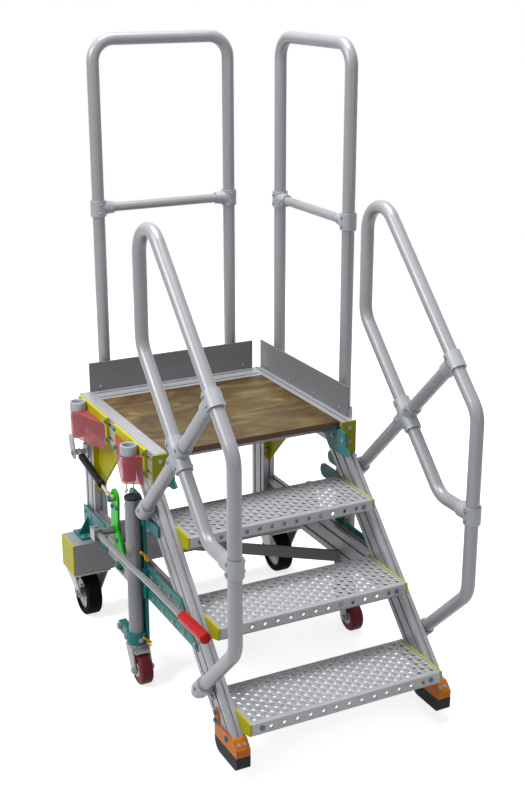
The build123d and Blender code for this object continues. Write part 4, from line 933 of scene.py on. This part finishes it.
# Gas spring: eyes, collars and the bracket cheek at its upper end; profiles are (radius, distance)
EYE = [
    (0.0056, -0.0068), (0.0106, -0.0068), (0.0120, -0.0054),
    (0.0120, 0.0054), (0.0106, 0.0068), (0.0056, 0.0068),
]
UPPER_STEM = [
    (0.0054, 0.0100), (0.0078, 0.0112), (0.0078, 0.0250),
    (0.0112, 0.0290), (0.0112, 0.0340), (0.0054, 0.0342),
]
END_RING = [(0.0131, 0.2067), (0.0139, 0.2077), (0.0139, 0.2222), (0.0118, 0.2252), (0.0056, 0.2257)]
LOWER_STEM = [(0.0054, 0.0100), (0.0088, 0.0112), (0.0088, 0.0320), (0.0070, 0.0350), (0.0052, 0.0352)]
EYE_STEPS = 28
RING_STEPS = 32
CHEEK_X = (-0.3890, -0.3945)
CHEEK_OUTLINE = [
    (0.549, 0.578), (0.557, 0.569), (0.577, 0.569), (0.588, 0.580), (0.606, 0.628), (0.606, 0.640),
    (0.599, 0.648), (0.572, 0.648), (0.563, 0.640), (0.549, 0.602),
]
CHEEK_EASE = 0.0014
ARM_LOW = (-0.3935, 0.5700, 0.6400)
ARM_HIGH = (-0.3440, 0.5955, 0.6460)
ARM_EASE = 0.0012
CHEEK_BOLT = 0.0075

eye = (-SPRING_X, *SPRING_EYE)
pin_end = (-SPRING_X, *CRANK_TOP)
way = Vector((0, CRANK_TOP[0] - SPRING_EYE[0], CRANK_TOP[1] - SPRING_EYE[1])).normalized()
upper = Shape()
upper.lathe(eye, (1, 0, 0), EYE, EYE_STEPS)
upper.lathe(eye, way, UPPER_STEM, EYE_STEPS)
upper.done("spring_upper_eye", "gold", "gas_spring_cylinder")
seal = Shape()
seal.lathe(eye, way, END_RING, RING_STEPS)
seal.done("spring_end_ring", "black", "gas_spring_cylinder")
lower = Shape()
lower.lathe(pin_end, (1, 0, 0), EYE, EYE_STEPS)
lower.lathe(pin_end, -way, LOWER_STEM, EYE_STEPS)
lower.done("spring_lower_eye", "gold", "gas_spring_piston")
cheek = Shape()
cheek.plate(CHEEK_OUTLINE, *CHEEK_X, CHEEK_EASE)
cheek.box(ARM_LOW, ARM_HIGH, ARM_EASE)
cheek.done("spring_cheek", "fitting")
nut = Shape()
nut.bolt((CHEEK_X[1], *SPRING_EYE), (-1, 0, 0), CHEEK_BOLT)
nut.done("spring_cheek_bolt", "bolt")

# Lever: crank bolts, hub screw, grip cap and collar
CRANK_OUT = CRANK_X + 0.004
CRANK_BOLT = 0.0068
HUB_BOLT = (0.2475, 0.3905)
TOP_BOLTS = ((0.020, -0.036), (-0.017, -0.030))  # from the crank's top pin, on the left crank alone
LOW_PIN_X = 0.3815
LOW_PIN_BOLT = 0.0085
TOP_PIN_X = 0.3812
TOP_PIN_BOLT = 0.0095
HUB_SCREW = 0.0065
HUB_SCREW_X = 0.4275
HUB_TOP = SHAFT[1] + 0.020
COLLAR_FROM_TIP = 0.158
GRIP_COLLAR = [(0.0096, -0.001), (0.0128, 0.0), (0.0128, 0.0060), (0.0116, 0.0074), (0.0096, 0.0076)]
GRIP_COLLAR_STEPS = 28
GRIP_END = [(0.0128, -0.0030), (0.0134, 0.0), (0.0126, 0.0012), (0.0080, 0.0018), (0, 0.0020)]
GRIP_END_STEPS = 32

crank = Shape()
for side in BOTH:
    crank.bolt((side * CRANK_OUT, *HUB_BOLT), (side, 0, 0), CRANK_BOLT)
    crank.bolt((side * LOW_PIN_X, *CRANK_LOW), (side, 0, 0), LOW_PIN_BOLT)
crank.bolt((-TOP_PIN_X, *CRANK_TOP), (-1, 0, 0), TOP_PIN_BOLT)
for dy, dz in TOP_BOLTS:
    crank.bolt((-CRANK_OUT, CRANK_TOP[0] + dy, CRANK_TOP[1] + dz), (-1, 0, 0), CRANK_BOLT)
crank.done("crank_bolts", "blue", "lever")
tip = Vector((-LEVER_X, *GRIP_TIP))
axis = Vector((0, GRIP_TIP[0] - SHAFT[0], GRIP_TIP[1] - SHAFT[1])).normalized()
screw = Shape()
screw.bolt((-HUB_SCREW_X, SHAFT[0], HUB_TOP), (0, 0, 1), HUB_SCREW)
screw.lathe(tip - axis * COLLAR_FROM_TIP, -axis, GRIP_COLLAR, GRIP_COLLAR_STEPS)
screw.done("lever_fittings", "steel", "lever")
knob = Shape()
knob.lathe(tip, axis, GRIP_END, GRIP_END_STEPS)
knob.done("grip_end", "grip", "lever")

# Camera
CAMERA_PLACE = (-1.7041, -3.4093, 2.1838)
CAMERA_AIM = (0.4306, 0.8429, -0.3227)
CAMERA_LENS = 58.61
CAMERA_SENSOR = 36.0
CAMERA_REACH = 100.0

scene = bpy.context.scene
scene.view_settings.view_transform = "Standard"
camera = bpy.data.objects.new("camera", bpy.data.cameras.new("camera"))
scene.collection.objects.link(camera)
camera.location = CAMERA_PLACE
camera.rotation_mode = "QUATERNION"
camera.rotation_quaternion = Vector(CAMERA_AIM).to_track_quat("-Z", "Y")
camera.data.sensor_width = CAMERA_SENSOR
camera.data.lens = CAMERA_LENS
camera.data.clip_end = CAMERA_REACH
scene.camera = camera

# Lamps
LAMPS = (  # name, place, aim, size, power
    ("key", (-4.4, 0.0, 4.2), (0.0, 0.0, 0.8), 2.2, 170.0),
    ("top", (-0.2, 0.6, 5.6), (0.0, 0.0, 0.6), 2.6, 310.0),
    ("fill", (0.6, -5.0, 2.2), (0.0, 0.0, 0.8), 3.0, 22.0),
)
for name, place, aim, size, power in LAMPS:
    lamp = bpy.data.lights.new(name, "AREA")
    lamp.shape = "DISK"
    lamp.size = size
    lamp.energy = power
    obj = bpy.data.objects.new(name, lamp)
    scene.collection.objects.link(obj)
    obj.location = place
    obj.rotation_mode = "QUATERNION"
    obj.rotation_quaternion = (Vector(aim) - Vector(place)).to_track_quat("-Z", "Y")


# White surroundings and the floor
def add(tree, kind, **values):
    made = tree.nodes.new("ShaderNode" + kind)
    for socket, value in values.items():
        made.inputs[socket].default_value = value
    return made


def seen_or_lit(tree, seen, lit, output):
    """Shows one shader to the camera and in reflections, and another to the light that falls on things."""
    path = add(tree, "LightPath")
    either = path.outputs["Is Camera Ray"]
    for name in ("Is Glossy Ray", "Is Transmission Ray"):
        most = add(tree, "Math")
        most.operation = "MAXIMUM"
        tree.links.new(either, most.inputs[0])
        tree.links.new(path.outputs[name], most.inputs[1])
        either = most.outputs[0]
    pick = add(tree, "MixShader")
    tree.links.new(either, pick.inputs[0])
    tree.links.new(lit, pick.inputs[1])
    tree.links.new(seen, pick.inputs[2])
    tree.links.new(pick.outputs[0], output)


def grey_level(value):
    return (value, value, value, 1.0)


SKY_COLOUR = (0.93, 0.95, 1.0, 1.0)
SKY_LIGHT = 0.27
FLOOR_REACH = 4.8
FLOOR_LIT = grey_level(0.34)
FLOOR_SEEN = grey_level(0.62)
FLOOR_GLOW = 0.76

world = bpy.data.worlds.new("studio")
scene.world = world
world.use_nodes = True
tree = world.node_tree
tree.nodes.clear()
sky = add(tree, "Background", Color=SKY_COLOUR, Strength=SKY_LIGHT)
white = add(tree, "Background", Color=grey_level(1.0))
output = add(tree, "OutputWorld")
seen_or_lit(tree, white.outputs[0], sky.outputs[0], output.inputs[0])

corners = [(x * FLOOR_REACH, y * FLOOR_REACH, 0) for x, y in ((-1, -1), (1, -1), (1, 1), (-1, 1))]
ground = bpy.data.meshes.new("floor")
ground.from_pydata(corners, [], [(0, 1, 2, 3)])
floor = bpy.data.objects.new("floor", ground)
scene.collection.objects.link(floor)
floor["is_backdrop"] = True
paper = bpy.data.materials.new("studio_floor")
paper.use_nodes = True
tree = paper.node_tree
tree.nodes.clear()
matt = add(tree, "BsdfDiffuse", Color=FLOOR_LIT)
pale = add(tree, "BsdfDiffuse", Color=FLOOR_SEEN)
glow = add(tree, "Emission", Strength=FLOOR_GLOW)
both = add(tree, "AddShader")
tree.links.new(pale.outputs[0], both.inputs[0])
tree.links.new(glow.outputs[0], both.inputs[1])
output = add(tree, "OutputMaterial")
seen_or_lit(tree, both.outputs[0], matt.outputs[0], output.inputs[0])
ground.materials.append(paper)

low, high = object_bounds()
